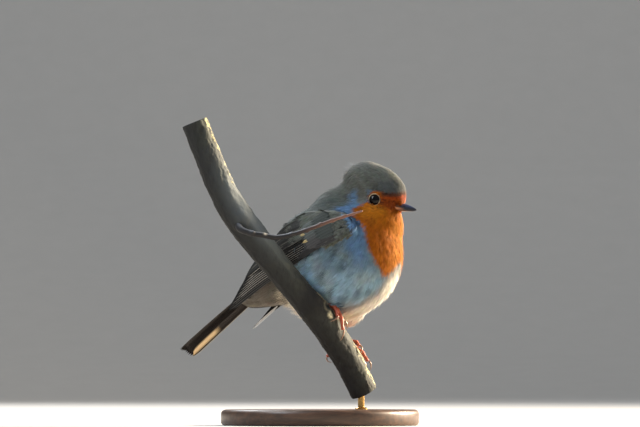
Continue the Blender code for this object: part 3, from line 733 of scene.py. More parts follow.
# ---- soft feathers ----
class Tuft:
    """One soft feather: flat strands side by side, each (across, along, edge) in its own terms."""

    def __init__(self, strands, steps):
        bm = bmesh.new()
        for strand in range(strands):
            made = bmesh.ops.create_grid(bm, x_segments=1, y_segments=steps, size=0.5)
            for vert in made["verts"]:
                vert.co = Vector((2 * vert.co.x, vert.co.y + 0.5, strand))
            tip = [v for v in made["verts"] if v.co.y > 0.999]
            bmesh.ops.pointmerge(bm, verts=tip, merge_co=Vector((0.0, 1.0, strand)))
        bm.verts.index_update()
        self.params = np.array([v.co for v in bm.verts])
        self.strands = strands
        self.sizes = np.array([len(f.verts) for f in bm.faces])
        self.corners = np.concatenate([[v.index for v in f.verts] for f in bm.faces])
        bm.free()


def tiled_mesh(name, tuft, places, normals, uv, colours, material):
    """Many tufts of one shape, each its own vertices, joined into one piece."""
    count, each = places.shape[:2]
    mesh = bpy.data.meshes.new(name)
    mesh.vertices.add(count * each)
    mesh.vertices.foreach_set("co", places.reshape(-1))
    starts = np.repeat(np.arange(count) * each, len(tuft.corners))
    corners = np.tile(tuft.corners, count) + starts
    sizes = np.tile(tuft.sizes, count)
    mesh.loops.add(len(corners))
    mesh.loops.foreach_set("vertex_index", corners)
    mesh.polygons.add(len(sizes))
    mesh.polygons.foreach_set("loop_start", np.r_[0, np.cumsum(sizes)[:-1]])
    mesh.polygons.foreach_set("loop_total", sizes)
    mesh.update(calc_edges=True)
    layer = mesh.uv_layers.new(name="OFBake")
    layer.data.foreach_set("uv", uv.reshape(-1, 2)[corners].ravel().astype(np.float32))
    store_colours(mesh, "plumage", colours.reshape(-1, 3))
    mesh.shade_smooth()
    mesh.normals_split_custom_set_from_vertices(normals.reshape(-1, 3))
    return new_object(name, mesh, material)


def unwrap(places):
    """A place on an unwrap of the body's own shape: round its long axis, and along it."""
    f, l, z = places.T
    spine_z = np.interp(f, [-45.0, 0.0, 20.0, 25.0], [-10.0, 5.0, 20.0, 34.0])
    turn = np.arctan2(l, z - spine_z) / math.tau + 0.5
    along = np.clip((f - 0.6 * (z - 5.0) * smoothstep(40.0, -10.0, z) + 62.0) / 120.0, 0.0, 1.0)
    return np.stack([turn, along], axis=1) * 0.994


def grown_tufts(tuft, tips, outs, lies, sizes, surface, colours, rng, soft):
    """Tufts whose tips are at the given places and whose roots lie back along the lie.

    sizes holds each one's length, half width and depth.  Returns places, normals, uv, colours.
    """
    length, width, depth = (column[:, None] for column in sizes.T)
    middles, middle_outs = surface.nearest(tips - lies * length * 0.5)
    roots, root_outs = surface.nearest(tips - lies * length)
    middles = middles - middle_outs * depth * 0.28
    roots = roots - root_outs * depth
    lift = rng.random((len(tips), 1)) * soft
    ends = tips + outs * lift
    control = 2 * middles - 0.5 * (roots + ends)

    edge, along = tuft.params[:, 0], tuft.params[:, 1]
    strand = np.round(tuft.params[:, 2]).astype(int)
    count = len(tips)
    even = (np.arange(tuft.strands) + 0.5) / tuft.strands * 2 - 1
    spread = even[None] + rng.normal(0, 0.6 / tuft.strands, (count, tuft.strands))
    reach = 1 - 0.2 * spread**2 + rng.normal(0, 0.05, (count, tuft.strands))
    stray = rng.normal(0, 0.10, (count, tuft.strands)) * soft
    tone = 1 + rng.normal(0, 0.10, (count, tuft.strands))
    across = spread[:, strand]
    share = along[None] * reach[:, strand]

    a, b, c = roots[:, None], control[:, None], ends[:, None]
    t = share[..., None]
    centre = a * (1 - t) ** 2 + 2 * b * t * (1 - t) + c * t**2
    tangent = unit(2 * (b - a) * (1 - t) + 2 * (c - b) * t)
    side = unit(np.cross(tangent, outs[:, None]))
    up = np.cross(side, tangent)
    fan = 0.30 + 0.70 * np.sin(np.clip(share, 0, 1) * math.pi / 2) ** 1.2
    strand_width = width / tuft.strands * 1.7 * (1 - 0.55 * share)
    offset = across * width * fan + edge[None] * strand_width * (along[None] < 0.999)
    dome = -0.30 * width * (across * fan) ** 2 + stray[:, strand] * share**2 * 2
    places = centre + side * offset[..., None] + up * dome[..., None]

    normals = unit(outs[:, None] + side * (0.45 * across * fan)[..., None] + 0.12 * tangent)
    # strands darken towards the root, partly their grey bases and partly painted shade under the
    # feathers before them, and the tips carry a painted highlight
    root_shade = 0.30 + 0.70 * smoothstep(0.2, 0.85, share)
    painted_tip_highlight = 1.0 + 0.14 * smoothstep(0.85, 1.0, share)
    shade = root_shade * painted_tip_highlight * tone[:, strand]
    painted = colours[:, None] * shade[..., None]

    corner = unwrap(roots)[:, None]
    local = np.stack([(across + 1.3) / 2.6, share], axis=-1)
    uv = np.clip(corner + np.clip(local, 0, 1) * TUFT_PATCH, 0.0, 1.0)
    return places, normals, uv, painted


def clear_of_perch(places, gap=0.25):
    """Moves places that are inside the branch, in world millimetres, out through its bark."""
    line, radii = PERCH.points[::2], PERCH.radii[::2]
    flat = places.reshape(-1, 3)
    close = np.linalg.norm(flat[:, None] - line[None, ::8], axis=2).min(1) < 22.0
    index = np.nonzero(close)[0]
    for part in np.array_split(index, max(1, len(index) // 20000)):
        gaps = np.linalg.norm(flat[part][:, None] - line[None], axis=2)
        spot = gaps.argmin(1)
        distance = gaps[np.arange(len(part)), spot]
        reach = radii[spot] + gap
        inside = distance < reach
        out = unit(flat[part] - line[spot])
        flat[part[inside]] = (line[spot] + out * reach[:, None])[inside]
    return flat.reshape(places.shape)


def scatter(surface, spacing_at, rng, tries):
    """Places spread over a skin, each at least its own spacing from the others."""
    places = surface.places
    triangles = np.array(
        [(f[0], f[i], f[i + 1]) for f in surface.faces for i in range(1, len(f) - 1)]
    )
    a, b, c = (places[triangles[:, k]] for k in range(3))
    areas = np.linalg.norm(np.cross(b - a, c - a), axis=1)
    chosen = rng.choice(len(triangles), tries, p=areas / areas.sum())
    u, v = rng.random((2, tries, 1))
    over = u + v > 1
    u, v = np.where(over, 1 - u, u), np.where(over, 1 - v, v)
    spots = a[chosen] * (1 - u - v) + b[chosen] * u + c[chosen] * v
    spacing = spacing_at(spots)
    kept, grid = [], {}
    for i, (x, y, z) in enumerate(np.floor(spots / CELL).astype(int)):
        near = (
            j for dx, dy, dz in NEAR_CELLS for j in grid.get((x + dx, y + dy, z + dz), ())
        )
        limit = spacing[i] ** 2
        f, l, h = spots[i]
        if all(
            (f - spots[j][0]) ** 2 + (l - spots[j][1]) ** 2 + (h - spots[j][2]) ** 2 > limit
            for j in near
        ):
            grid.setdefault((x, y, z), []).append(i)
            kept.append(i)
    return spots[kept]


# ---- materials ----
def feather_material():
    """Soft contour feathers: matt keratin barbs, which scatter light and glow at the edge."""
    made, tree, shader = new_material(
        "soft_feather_barbs", Roughness=0.78, Sheen_Weight=0.10, Sheen_Roughness=0.4,
        Specular_IOR_Level=0.15,
    )
    colour = add_node(tree, "ShaderNodeAttribute", attribute_name="plumage")
    tree.links.new(colour.outputs["Color"], shader.inputs["Base Color"])
    return made


def textured(tree, shader, colour, height, bump, **spread):
    """Multiplies a colour by a pattern, spread over a range, and raises the pattern as relief."""
    tint = add_node(
        tree, "ShaderNodeMapRange",
        {"Value": height, **{key.replace("_", " "): value for key, value in spread.items()}},
    )
    painted = add_node(
        tree, "ShaderNodeVectorMath", {0: colour, "Scale": tint.outputs["Result"]},
        operation="SCALE",
    )
    relief = add_node(tree, "ShaderNodeBump", {"Height": height, **bump})
    tree.links.new(painted.outputs["Vector"], shader.inputs["Base Color"])
    tree.links.new(relief.outputs["Normal"], shader.inputs["Normal"])


def vane_material():
    """Flight feathers: closed vanes of fine slanting barbs on a smooth shaft."""
    made, tree, shader = new_material(
        "flight_feather_vane", Roughness=0.62, Sheen_Weight=0.04, Specular_IOR_Level=0.16
    )
    colour = add_node(tree, "ShaderNodeAttribute", attribute_name="plumage")
    across = add_node(tree, "ShaderNodeAttribute", attribute_name="vane")
    split = add_node(tree, "ShaderNodeSeparateXYZ", {"Vector": across.outputs["Vector"]})
    spread = add_node(tree, "ShaderNodeMath", {0: split.outputs["X"]}, operation="ABSOLUTE")
    # barbs leave the shaft at a slant; both directions are in millimetres
    slant = add_node(
        tree, "ShaderNodeMath", {0: spread.outputs[0], 1: 2.2, 2: split.outputs["Y"]},
        operation="MULTIPLY_ADD",
    )
    turns = add_node(
        tree, "ShaderNodeMath", {0: slant.outputs[0], 1: math.tau / BARB_PITCH},
        operation="MULTIPLY",
    )
    wave = add_node(tree, "ShaderNodeMath", {0: turns.outputs[0]}, operation="SINE")
    textured(
        tree, shader, colour.outputs["Color"], wave.outputs[0],
        {"Strength": 0.25, "Distance": 0.05 * MM}, From_Min=-1.0, To_Min=0.86, To_Max=1.1,
    )
    return made


def attribute_material(name, grain, depth, spread=(0.72, 1.28), detail=5.0, fine=0.6, **settings):
    """A surface painted by its own colours, with a fine grain of the given size in millimetres."""
    made, tree, shader = new_material(name, **settings)
    colour = add_node(tree, "ShaderNodeAttribute", attribute_name="plumage")
    place = add_node(tree, "ShaderNodeTexCoord")
    speck = add_node(
        tree, "ShaderNodeTexNoise",
        {"Vector": place.outputs["Object"], "Scale": 1 / (grain * MM), "Detail": detail,
         "Roughness": fine},
    )
    textured(
        tree, shader, colour.outputs["Color"], speck.outputs["Fac"], {"Distance": depth * MM},
        To_Min=spread[0], To_Max=spread[1],
    )
    return made


def speckled_material(name, grain, detail, dark, light, **settings):
    """A surface of two close tones, flecked at the given size in millimetres."""
    made, tree, shader = new_material(name, **settings)
    place = add_node(tree, "ShaderNodeTexCoord")
    speck = add_node(
        tree, "ShaderNodeTexNoise",
        {"Vector": place.outputs["Object"], "Scale": 1 / (grain * MM), "Detail": detail},
    )
    tree.links.new(ramp(tree, speck.outputs["Fac"], [dark, light]), shader.inputs["Base Color"])
    return made


# ---- operators ----
class RobinSkin(bpy.types.Operator):
    """One skin under the feathers, in place of the parted solids of flesh"""

    bl_idname = "robin.skin"
    bl_label = "Skin"

    def execute(self, context):
        mesh = fused_body(FLESH, 0.8, 10)
        surface = Surface(mesh)
        out = vertex_places(mesh, "normal")
        places = vertex_places(mesh) - out * (coat_depth(surface.places) * MM)[:, None]
        mesh.vertices.foreach_set("co", places.ravel())
        mesh.update()
        # down and thin skin, darker than the feathers over it
        down = attribute_material(
            "down_over_skin", 1.2, 0.4, (0.45, 0.85), detail=4.0, fine=0.5, Roughness=0.9
        )
        skin = new_object("skin", mesh, down)
        relax = skin.modifiers.new("relax", "SMOOTH")
        relax.iterations = 3
        store_colours(mesh, "plumage", markings(surface.places, context.scene.robin_plumage))
        mesh.shade_smooth()
        finish_piece(skin, "plumage_pale", *FLESH)
        return {"FINISHED"}


KEPT = {}


def coat_surface():
    """The surface over which the feathers lie: body, shoulders and the valleys between."""
    if "coat" not in KEPT:
        KEPT["coat"] = Surface(fused_body(FLESH + SHOULDERS, 0.9, 5))
    return KEPT["coat"]


def solid_surface(name):
    """A solid of the frame, for distances and ways in."""
    if name not in KEPT:
        KEPT[name] = Surface(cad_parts[name].data)
    return KEPT[name]


def region_of(places):
    """Which coat piece each place belongs to, as an index into COAT_REGIONS."""
    f, l, z = places.T
    head = body_weights(places)[1]
    region = np.where(l < 0, 6, 7)
    region = np.where(z - 0.75 * f > 12.0, 5, region)
    region = np.where((f > 20.0) & (z > -2.0), 3, region)
    region = np.where((f > 16.0) & (z > 14.0), 2, region)
    region = np.where(z < -7.0, 4, region)
    region = np.where((f < -14.0) & (z < 0.7 * f + 16.0), 8, region)
    region = np.where(head > 0.5, np.where(z > 36.5, 1, 0), region)
    return region


class RobinCoat(bpy.types.Operator):
    """Soft feathers over the whole body and the shoulders of the wings"""

    bl_idname = "robin.coat"
    bl_label = "Body feathers"

    def execute(self, context):
        plumage = context.scene.robin_plumage
        rng = np.random.default_rng(COAT_SEED)
        outer = coat_surface()
        length = plumage.length / MM
        gap = plumage.spacing / MM

        def spacing_at(places):
            face, head, belly, _ = body_weights(places)
            spacing = gap * (1 + 0.12 * belly)
            spacing = spacing * (1 - head) + gap * 0.66 * head
            return spacing * (1 - face) + gap * 0.44 * face

        tips = scatter(outer, spacing_at, rng, COAT_TRIES)
        tips, outs = outer.nearest(tips)
        wing_gap = np.minimum(*(solid_surface(name).distance(tips) for name in SHOULDERS))
        # nothing grows on the eyes, under the folded quills or where the bill comes out
        f, l, z = tips.T
        eye_gap = np.hypot(f - EYE_PLACE[0], z - EYE_PLACE[1])
        keep = ~((eye_gap < EYE_OPENING + 0.15) & (np.abs(l) > 5.0))
        from_gape = z - gape_height(f)
        keep &= ~((f > 32.6) & (from_gape > -1.3) & (from_gape < 1.9) & (np.abs(l) < 3.6))
        keep &= ~((f > 35.9) & (from_gape > -2.0) & (from_gape < 2.6))
        for side in ("left", "right"):
            keep &= ~under_quills(tips, side)
        planes = {side: WingPlane(side) for side in ("left", "right")}
        spots = [planes["left" if tip[1] > 0 else "right"].spot(tip) for tip in tips]
        along, across = np.array(spots).T
        # the breast's feathers come over the bend of the wing
        on_wing = (wing_gap < 0.9) & (along > 3.5)
        # the vanes of the wing lie bare behind its small coverts
        bare_from = 18.0 + rng.normal(0.0, 1.2, len(tips))
        keep &= ~on_wing | (along < bare_from) | (across > 6.2)
        tips, outs, on_wing = tips[keep], outs[keep], on_wing[keep]
        scapular = on_wing & (across[keep] > 5.5)
        lies = lie_of(tips, outs)
        wing_line = unit(np.array([[-65.5, 0.0, -35.0]]))
        wing_lie = wing_line - outs * (wing_line * outs).sum(1, keepdims=True)
        lies = np.where(on_wing[:, None], unit(wing_lie), lies)
        turn = np.cross(outs, lies)
        lies = unit(lies + turn * rng.normal(0, 0.10, (len(tips), 1)))

        f, l, z = tips.T
        face, head, belly, vent = body_weights(tips)
        lengths = length * (1 + 0.25 * belly + 0.15 * vent) * (1 - head) + length * 0.55 * head
        lengths = lengths * (1 - face) + length * 0.24 * face
        lengths = np.where(on_wing, np.where(scapular, 6.5, 3.8), lengths)
        lengths = lengths * rng.uniform(0.85, 1.15, len(tips))
        shoulder = np.array(plumage.back) * (1.0, 0.92, 0.86)
        colours = np.where(on_wing[:, None], shoulder, markings(tips, plumage))
        colours = colours * np.clip(rng.normal(1.0, 0.09, (len(tips), 1)), 0.7, 1.3)
        colours = colours * np.clip(rng.normal(1.0, 0.03, (len(tips), 3)), 0.9, 1.1)
        # a few pale tips stand up at the nape, their paleness partly a painted rim of back light
        nape = smoothstep(6.5, 4.0, np.hypot(f - 6.5, (z - 44.5) * 0.6))
        nape = nape * smoothstep(6.0, 3.0, np.abs(l))
        ragged = nape * (rng.random(len(tips)) < 0.5)
        pale = 0.8 * ragged * smoothstep(4.2, 1.8, np.abs(l))
        colours = mix(colours, np.array((0.78, 0.79, 0.80)), pale)
        # short and close over the bend of each wing
        bend = smoothstep(6.0, 3.0, np.hypot(f - 19.5, z - 18.5)) * (np.abs(l) > 14.0)
        lengths = lengths * (1 - 0.2 * bend)
        # loose white tips between the legs and under the vent
        fluff = smoothstep(5.0, 2.0, np.hypot((f - 9.0) * 0.7, l + 2.0)) * (z < -12.0)
        fluff = np.maximum(fluff, smoothstep(8.0, 4.0, np.abs(f + 19.0)) * (z < -11.0))
        warm_white = np.array(plumage.belly) * (1.0, 0.93, 0.78)
        colours = mix(colours, warm_white, 0.8 * fluff * (rng.random(len(tips)) < 0.6))
        looser = 1 + 0.1 * nape + 0.4 * ragged + 0.3 * fluff
        lengths = np.where(on_wing, lengths, lengths * looser)
        soft = 0.35 + 0.5 * belly + 0.2 * (1 - head) + 0.6 * nape + 3.4 * ragged + 1.6 * fluff
        soft = np.where(on_wing, 0.15, soft * (1 - 0.7 * face) * (1 - 0.9 * bend))[:, None]
        widths = lengths * np.where(head > 0.5, 0.26, 0.24) * (1 - 0.45 * ragged)
        depths = np.where(on_wing, np.where(scapular, 0.9, 0.5), coat_depth(tips) * 0.95)
        sizes = np.stack([lengths, widths, depths * (1 - 0.8 * bend)], axis=1)

        region = np.where(on_wing, COAT_REGIONS.index("shoulders"), region_of(tips))
        material = feather_material()
        for index, name in enumerate(COAT_REGIONS):
            chosen = region == index
            tuft = Tuft(HEAD_STRANDS.get(name, plumage.strands), TUFT_STEPS)
            places, normals, uv, painted = grown_tufts(
                tuft, tips[chosen], outs[chosen], lies[chosen], sizes[chosen], outer,
                colours[chosen], rng, soft[chosen],
            )
            placed = to_world(places.reshape(-1, 3)).reshape(places.shape)
            if name not in HEAD_STRANDS:
                placed = clear_of_perch(placed / MM) * MM
            normals = turned(normals.reshape(-1, 3))
            piece = tiled_mesh(f"coat_{name}", tuft, placed, normals, uv, painted, material)
            finish_piece(piece, "plumage_olive" if name in OLIVE_REGIONS else "plumage_pale")
        return {"FINISHED"}


def under_quills(places, side):
    """Whether each place is covered by the closed quills of a wing."""
    sign = 1 if side == "left" else -1
    covered = np.zeros(len(places), bool)
    for name in ("secondaries", "primaries"):
        tree = solid_surface(f"wing_{side}_{name}").tree
        for i, place in enumerate(places):
            if covered[i] or place[1] * sign < 4.0:
                continue
            outward = Vector((0.0, sign, 0.0))
            covered[i] = tree.ray_cast(Vector(place) - outward, outward, 6.5)[0] is not None
    return covered


# ---- wings and tail: flat vanes, drawn in place ----
class WingPlane:
    """Places on a folded wing from the distance along it, across it and over its plates."""

    def __init__(self, side):
        self.side = 1 if side == "left" else -1
        self.droop = WING_DROOP[side]
        self.fold = WING_FOLD[side]
        bend, tip = Vector(WING_BEND), Vector(WING_TIP)
        self.bend = bend
        self.line = (tip - bend).normalized()
        self.rise = Vector((self.line.y, -self.line.x))
        bm = bmesh.new()
        for plate in ("coverts", "secondaries", "primaries"):
            bm.from_mesh(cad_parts[f"wing_{side}_{plate}"].data)
        bm.verts.index_update()
        places = to_robin(np.array([v.co for v in bm.verts]))
        faces = [tuple(v.index for v in f.verts) for f in bm.faces]
        bm.free()
        self.tree = BVHTree.FromPolygons([Vector(p) for p in places], faces)

    def flat(self, along, across):
        point = self.bend + self.line * along + self.rise * across
        droop = Matrix.Rotation(self.droop[0] * min(1.0, along / 12.0), 2)
        point = self.bend + droop @ (point - self.bend)
        if along > WING_TIP_START:
            hinge = self.bend + Matrix.Rotation(self.droop[0], 2) @ (self.line * WING_TIP_START)
            point = hinge + Matrix.Rotation(self.droop[1], 2) @ (point - hinge)
        return point

    def edges(self, along):
        """The wing's lower and upper edges here, across it."""
        low, high = (
            float(np.interp(along, WING_EDGES[:, 0], WING_EDGES[:, k])) for k in (1, 2)
        )
        folded = min(1.0, max(0.0, (along - 44.0) / 16.0))
        return low, low + (high - low) * (1 - (1 - self.fold) * folded)

    def out(self, along, across):
        """How far out the plates reach here, smoothed over their steps."""
        total = 0.0
        for step in (-4.0, -2.0, 0.0, 2.0, 4.0):
            at = min(max(along + step, 0.4), 77.4)
            low, high = self.edges(at)
            margin = min(0.35, (high - low) * 0.4)
            point = self.flat(at, min(max(across, low + margin), high - margin))
            start = Vector((point.x, self.side * 60.0, point.y))
            hit = self.tree.ray_cast(start, Vector((0.0, -self.side, 0.0)))[0]
            if hit is None:
                hit = self.tree.find_nearest(Vector((point.x, self.side * 12.0, point.y)))[0]
            total += hit.y
        return total / 5

    def place(self, along, across, height):
        # the closed wing ends at its upper edge
        high = self.edges(along)[1] + 0.2
        across = min(across, high + 0.04 * (across - high))
        point = self.flat(along, across)
        rise = (self.out(along, across + 0.8) - self.out(along, across - 0.8)) / 1.6
        here = Vector((point.x, self.out(along, across), point.y))
        # the way out leans up or down with the plate
        upward = Vector((self.rise.x, 0.0, self.rise.y))
        lean = Vector((0.0, self.side, 0.0)) - upward * rise * self.side
        return here + lean.normalized() * height

    def spot(self, place):
        """The distances along and across the wing of a place of the robin's frame."""
        point = Vector((place[0], place[2])) - self.bend
        point = Matrix.Rotation(-self.droop[0], 2) @ point
        return point.dot(self.line), point.dot(self.rise)


class TailPlane:
    """Places on the closed tail from the distance down it, across it and over its plate."""

    def __init__(self):
        self.slope = Vector((-math.cos(TAIL_SLOPE), 0.0, -math.sin(TAIL_SLOPE)))
        self.up = Vector((-math.sin(TAIL_SLOPE), 0.0, math.cos(TAIL_SLOPE)))
        self.root = Vector((TAIL_ROOT[0], 0.0, TAIL_ROOT[1]))
        self.roll = Matrix.Rotation(TAIL_ROLL, 3, self.slope)

    def place(self, along, across, height):
        hang = TAIL_ROOF * (across / 5.5) ** 2
        offset = Vector((0.0, across, 0.0)) + self.up * (height - hang)
        droop = self.up * TAIL_DROOP * (along / TAIL_LENGTH) ** 2
        return self.root + self.slope * along + self.roll @ offset - droop


class VentPlane(TailPlane):
    """Places under the vent and on to the tail's underside."""

    def __init__(self):
        super().__init__()
        self.tree = coat_surface().tree

    def place(self, along, across, height):
        far = 22.0
        start = super().place(along, across, -far)
        hit = self.tree.ray_cast(start, self.roll @ self.up, far)
        level = far - hit[3] if hit[0] is not None else 0.0
        level = max(level, 2.6 - 0.05 * max(0.0, along))
        return super().place(along, across, -(level + height))


def vane_profile(share, blunt):
    """Half width of a vane from its base at 0 to its tip at 1."""
    base = min(1.0, 0.35 + share * 3.0)
    tip = max(0.0, 1.0 - max(0.0, (share - (1 - blunt)) / blunt) ** 2.4)
    return base * math.sqrt(tip)


def on_curve(points, share):
    """A place on a gentle curve through evenly spread (along, across) points."""
    points = np.array(points)
    spread = np.linspace(0.0, 1.0, len(points))
    weights = [
        math.prod((share - other) / (here - other) for other in spread if other != here)
        for here in spread
    ]
    return np.array(weights) @ points


def add_vane(bm, layers, plane, shaft, width, height, colours, blunt=0.3, outer_share=0.35,
             curl=0.12, rows=18, fringe=0.6, mirrored=False, light=None):
    """One flight feather along a shaft through (along, across) places.

    width is the whole width; outer_share of it lies on the outer side of the shaft, which is
    the low side unless mirrored.  colours are the vane's and its edge's, and light a third for
    the end of the inner vane: a painted glow of light shining through it.
    """
    colour_layer, vane_layer = layers
    made = bmesh.ops.create_grid(bm, x_segments=10, y_segments=rows, size=0.5)
    length = math.dist(shaft[0], shaft[-1])
    vane, edge = (np.array(c) for c in colours)
    for vert in made["verts"]:
        across, share = 2 * vert.co.x, vert.co.y + 0.5
        half = width * vane_profile(share, blunt)
        outward = across if mirrored else -across
        reach = half * (outer_share if outward > 0 else 1 - outer_share) * across
        along, middle = on_curve(shaft, share)
        barb_lag = -0.9 * abs(across) ** 1.5 * min(1.0, width / 4.0)
        # the base is sunk under the feathers before it
        sunk = 0.9 * (1 - float(smoothstep(0.0, 0.22, share)))
        lift = height - sunk + 0.08 * max(0.0, 1 - abs(across) * 4) - curl * across**2
        spot = plane.place(along + barb_lag, middle + reach, lift)
        rim = smoothstep(fringe, 0.98, outward if outward > 0 else -outward * 0.7)
        tone = mix(vane, edge, float(rim))
        if light is not None:
            lit = smoothstep(0.62, 0.69, share) * smoothstep(-0.3, -0.1, -outward)
            tone = mix(tone, np.array(light), float(lit * smoothstep(0.85, 0.7, -outward)))
        tone = tone * (1 - 0.35 * max(0.0, 1 - abs(across) * 5.0))
        vert[colour_layer] = (*tone, 1.0)
        vert[vane_layer] = Vector((across * half, length * share, 0.0))
        vert.co = Vector(to_world(np.array(spot)))
    return made["verts"]


def new_vanes():
    bm = bmesh.new()
    layers = (
        bm.verts.layers.float_color.new("plumage"), bm.verts.layers.float_vector.new("vane"),
    )
    return bm, layers


def face_out(bm, way):
    """Turns each loose sheet of a bmesh so that it faces the given way."""
    bm.normal_update()
    wrong = [f for f in bm.faces if f.normal.dot(way) < 0]
    bmesh.ops.reverse_faces(bm, faces=wrong)


QUILLS = (
    # each quill's outer edge near the coverts and near the tip, and its tip (along, across)
    (-3.4, -3.3, (76.0, -4.0)), (-2.9, -2.5, (78.0, -3.3)), (-2.3, -1.5, (77.0, -2.4)),
    (-1.5, -0.5, (75.0, -1.5)), (-0.6, 0.5, (72.6, -0.3)), (0.3, 1.4, (70.4, 0.8)),
    (1.25, 2.3, (68.2, 1.9)), (2.2, 3.25, (66.0, 3.0)), (3.3, 4.25, (64.0, 4.1)),
    (4.5, 5.3, (62.0, 5.3)),
)  # the outermost primary first: it lies lowest, and each inner quill overlaps it


TERTIALS = (
    ((22.0, 6.0), (35.3, 6.9), (48.6, 7.3), (62.0, 6.0)),
    ((21.0, 8.3), (33.7, 9.4), (46.4, 9.8), (59.0, 7.6)),
    ((19.0, 10.8), (30.0, 12.2), (41.0, 12.6), (52.0, 10.8)),
)
QUILL_START = 26.0  # distance along the wing where the coverts end
LOWEST_QUILL = -3.4


class RobinWings(bpy.types.Operator):
    """Flight feathers and coverts of both folded wings"""

    bl_idname = "robin.wings"
    bl_label = "Wings"

    def execute(self, context):
        plumage = context.scene.robin_plumage
        material = vane_material()
        for side in ("right", "left"):
            plane = WingPlane(side)
            rng = np.random.default_rng(WING_SEED)
            for plate, name in (("primaries", "outer"), ("secondaries", "inner")):
                bm, layers = new_vanes()
                add_quills(bm, layers, plane, plate, plumage)
                piece = object_from_wing(bm, plane, f"wing_{side}_quills_{name}", material)
                finish_piece(piece, "quills", f"wing_{side}_{plate}")
            bm, layers = new_vanes()
            add_coverts(bm, layers, plane, plumage, rng)
            piece = object_from_wing(bm, plane, f"wing_{side}_covert_rows", material)
            finish_piece(piece, "plumage_olive", f"wing_{side}_coverts")
        return {"FINISHED"}


def add_quills(bm, layers, plane, plate, plumage):
    """The flight feathers over one plate of a wing."""
    quill, edge = np.array(plumage.quill), np.array(plumage.quill_edge)
    back = np.array(plumage.back)
    for k in range(0, 6) if plate == "primaries" else range(6, 10):
        near, far, tip = QUILLS[k]
        # the left wing's tip is folded narrower
        far = LOWEST_QUILL + (far - LOWEST_QUILL) * (0.3 + 0.7 * plane.fold)
        tip = (tip[0], LOWEST_QUILL + (tip[1] - LOWEST_QUILL) * plane.fold)
        run = (tip[0] - QUILL_START) / 3
        shaft = (
            (QUILL_START, near + 0.6), (QUILL_START + run, near + 0.6 + (far - near) * 0.35),
            (QUILL_START + 2 * run, far + 0.65), tip,
        )
        rim = edge * (0.25 if k < 3 else 1.0)
        add_vane(bm, layers, plane, shaft, 4.6, -0.62 + 0.08 * k, (quill * 0.17, rim),
                 blunt=0.13, outer_share=0.12, fringe=0.5, curl=0.02)
    if plate == "primaries" and plane.side > 0:
        # a painted rim of light along the left wing's first quill, on its inner face, where light
        # glows through its edge
        white = np.ones(3) * 0.9
        add_vane(bm, layers, plane, ((62.0, -2.6), (70.0, -3.4), (77.6, -4.0)), 1.3, -0.74,
                 (white, white), outer_share=0.5, rows=8)
    if plate == "secondaries":
        # three tertials lie on top, with broad brown vanes
        for k, shaft in enumerate(TERTIALS):
            narrow = 0.35 + 0.65 * plane.fold
            shaft = [(x, y if x < 45 else -1 + (y + 1) * narrow) for x, y in shaft]
            add_vane(bm, layers, plane, shaft, 5.6, 0.18 + 0.12 * k,
                     (quill * 0.25 + back * 0.1, edge * 0.4), blunt=0.28, outer_share=0.2)


def add_coverts(bm, layers, plane, plumage, rng):
    """The rows of small feathers over the bases of the quills."""
    quill, back = np.array(plumage.quill), np.array(plumage.back)
    # small feathers of the hand, along the lower edge, dark partly as painted shade under the
    # wing's edge, and darkest where they part, in a painted shadow
    for k in range(5):
        shaft = (
            (12.0, -2.5 + 0.5 * k), (22.0, -2.7 + 0.5 * k), (32.0 - 1.6 * k, -2.6 + 0.55 * k)
        )
        add_vane(bm, layers, plane, shaft, 2.6, 0.07 * k, (quill * 0.45, quill * 0.6),
                 outer_share=0.25)
    add_vane(bm, layers, plane, ((8.0, 0.6), (14.0, 0.9), (20.5, 0.3)), 2.6, 0.34,
             (quill * 0.25, quill * 0.3), blunt=0.5, outer_share=0.5)
    for k in range(3):
        shaft = ((8.0, -2.4 + 1.0 * k), (14.0, -2.8 + 1.1 * k), (22.0 - 2.4 * k, -2.2 + 0.8 * k))
        add_vane(bm, layers, plane, shaft, 2.8, 0.3 + 0.08 * k, (quill * 0.6, quill * 0.8),
                 blunt=0.4)
    # greater coverts, two of them with a buff spot on the right wing
    # the left wing's coverts are painted darker, as painted shade, to hold down the key light that
    # falls on them
    sunny = 1.0 if plane.side < 0 else 0.72
    for k in range(9):
        low = -0.9 + 1.22 * k
        tone = mix(quill * 0.95, back, float(smoothstep(1, 6, k)) * 0.7)
        end = 25.4 - 0.1 * k + rng.normal(0, 0.25)
        shaft = ((12.0, low), (18.0, low + 0.3), (end, low + 0.3))
        add_vane(bm, layers, plane, shaft, 3.0, 0.34 + 0.07 * k,
                 (tone * 0.92 * sunny, tone * 1.15 * sunny), blunt=0.35, outer_share=0.4, rows=12)
        if k in (3, 6) and plane.side < 0:
            spot = mix(tone, np.array(plumage.covert_tip), 0.7)
            shaft = ((22.4, low + 0.2), (23.8, low + 0.3), (25.6, low + 0.35))
            add_vane(bm, layers, plane, shaft, 1.5, 0.44 + 0.07 * k, (spot, spot * 0.7),
                     blunt=0.5, outer_share=0.5, rows=6)
    for k in range(8):
        low = 0.4 + 1.35 * k
        shaft = ((9.0, low), (13.0, low + 0.2), (18.2 + rng.normal(0, 0.3), low + 0.3))
        add_vane(bm, layers, plane, shaft, 3.2, 0.62 + 0.06 * k,
                 (back * 0.42 * sunny, back * 0.52 * sunny), blunt=0.45, outer_share=0.45,
                 rows=10)


def object_from_wing(bm, plane, name, material):
    face_out(bm, Vector(turned(np.array([0.0, plane.side, 0.0]))))
    return object_from_bmesh(name, bm, material)


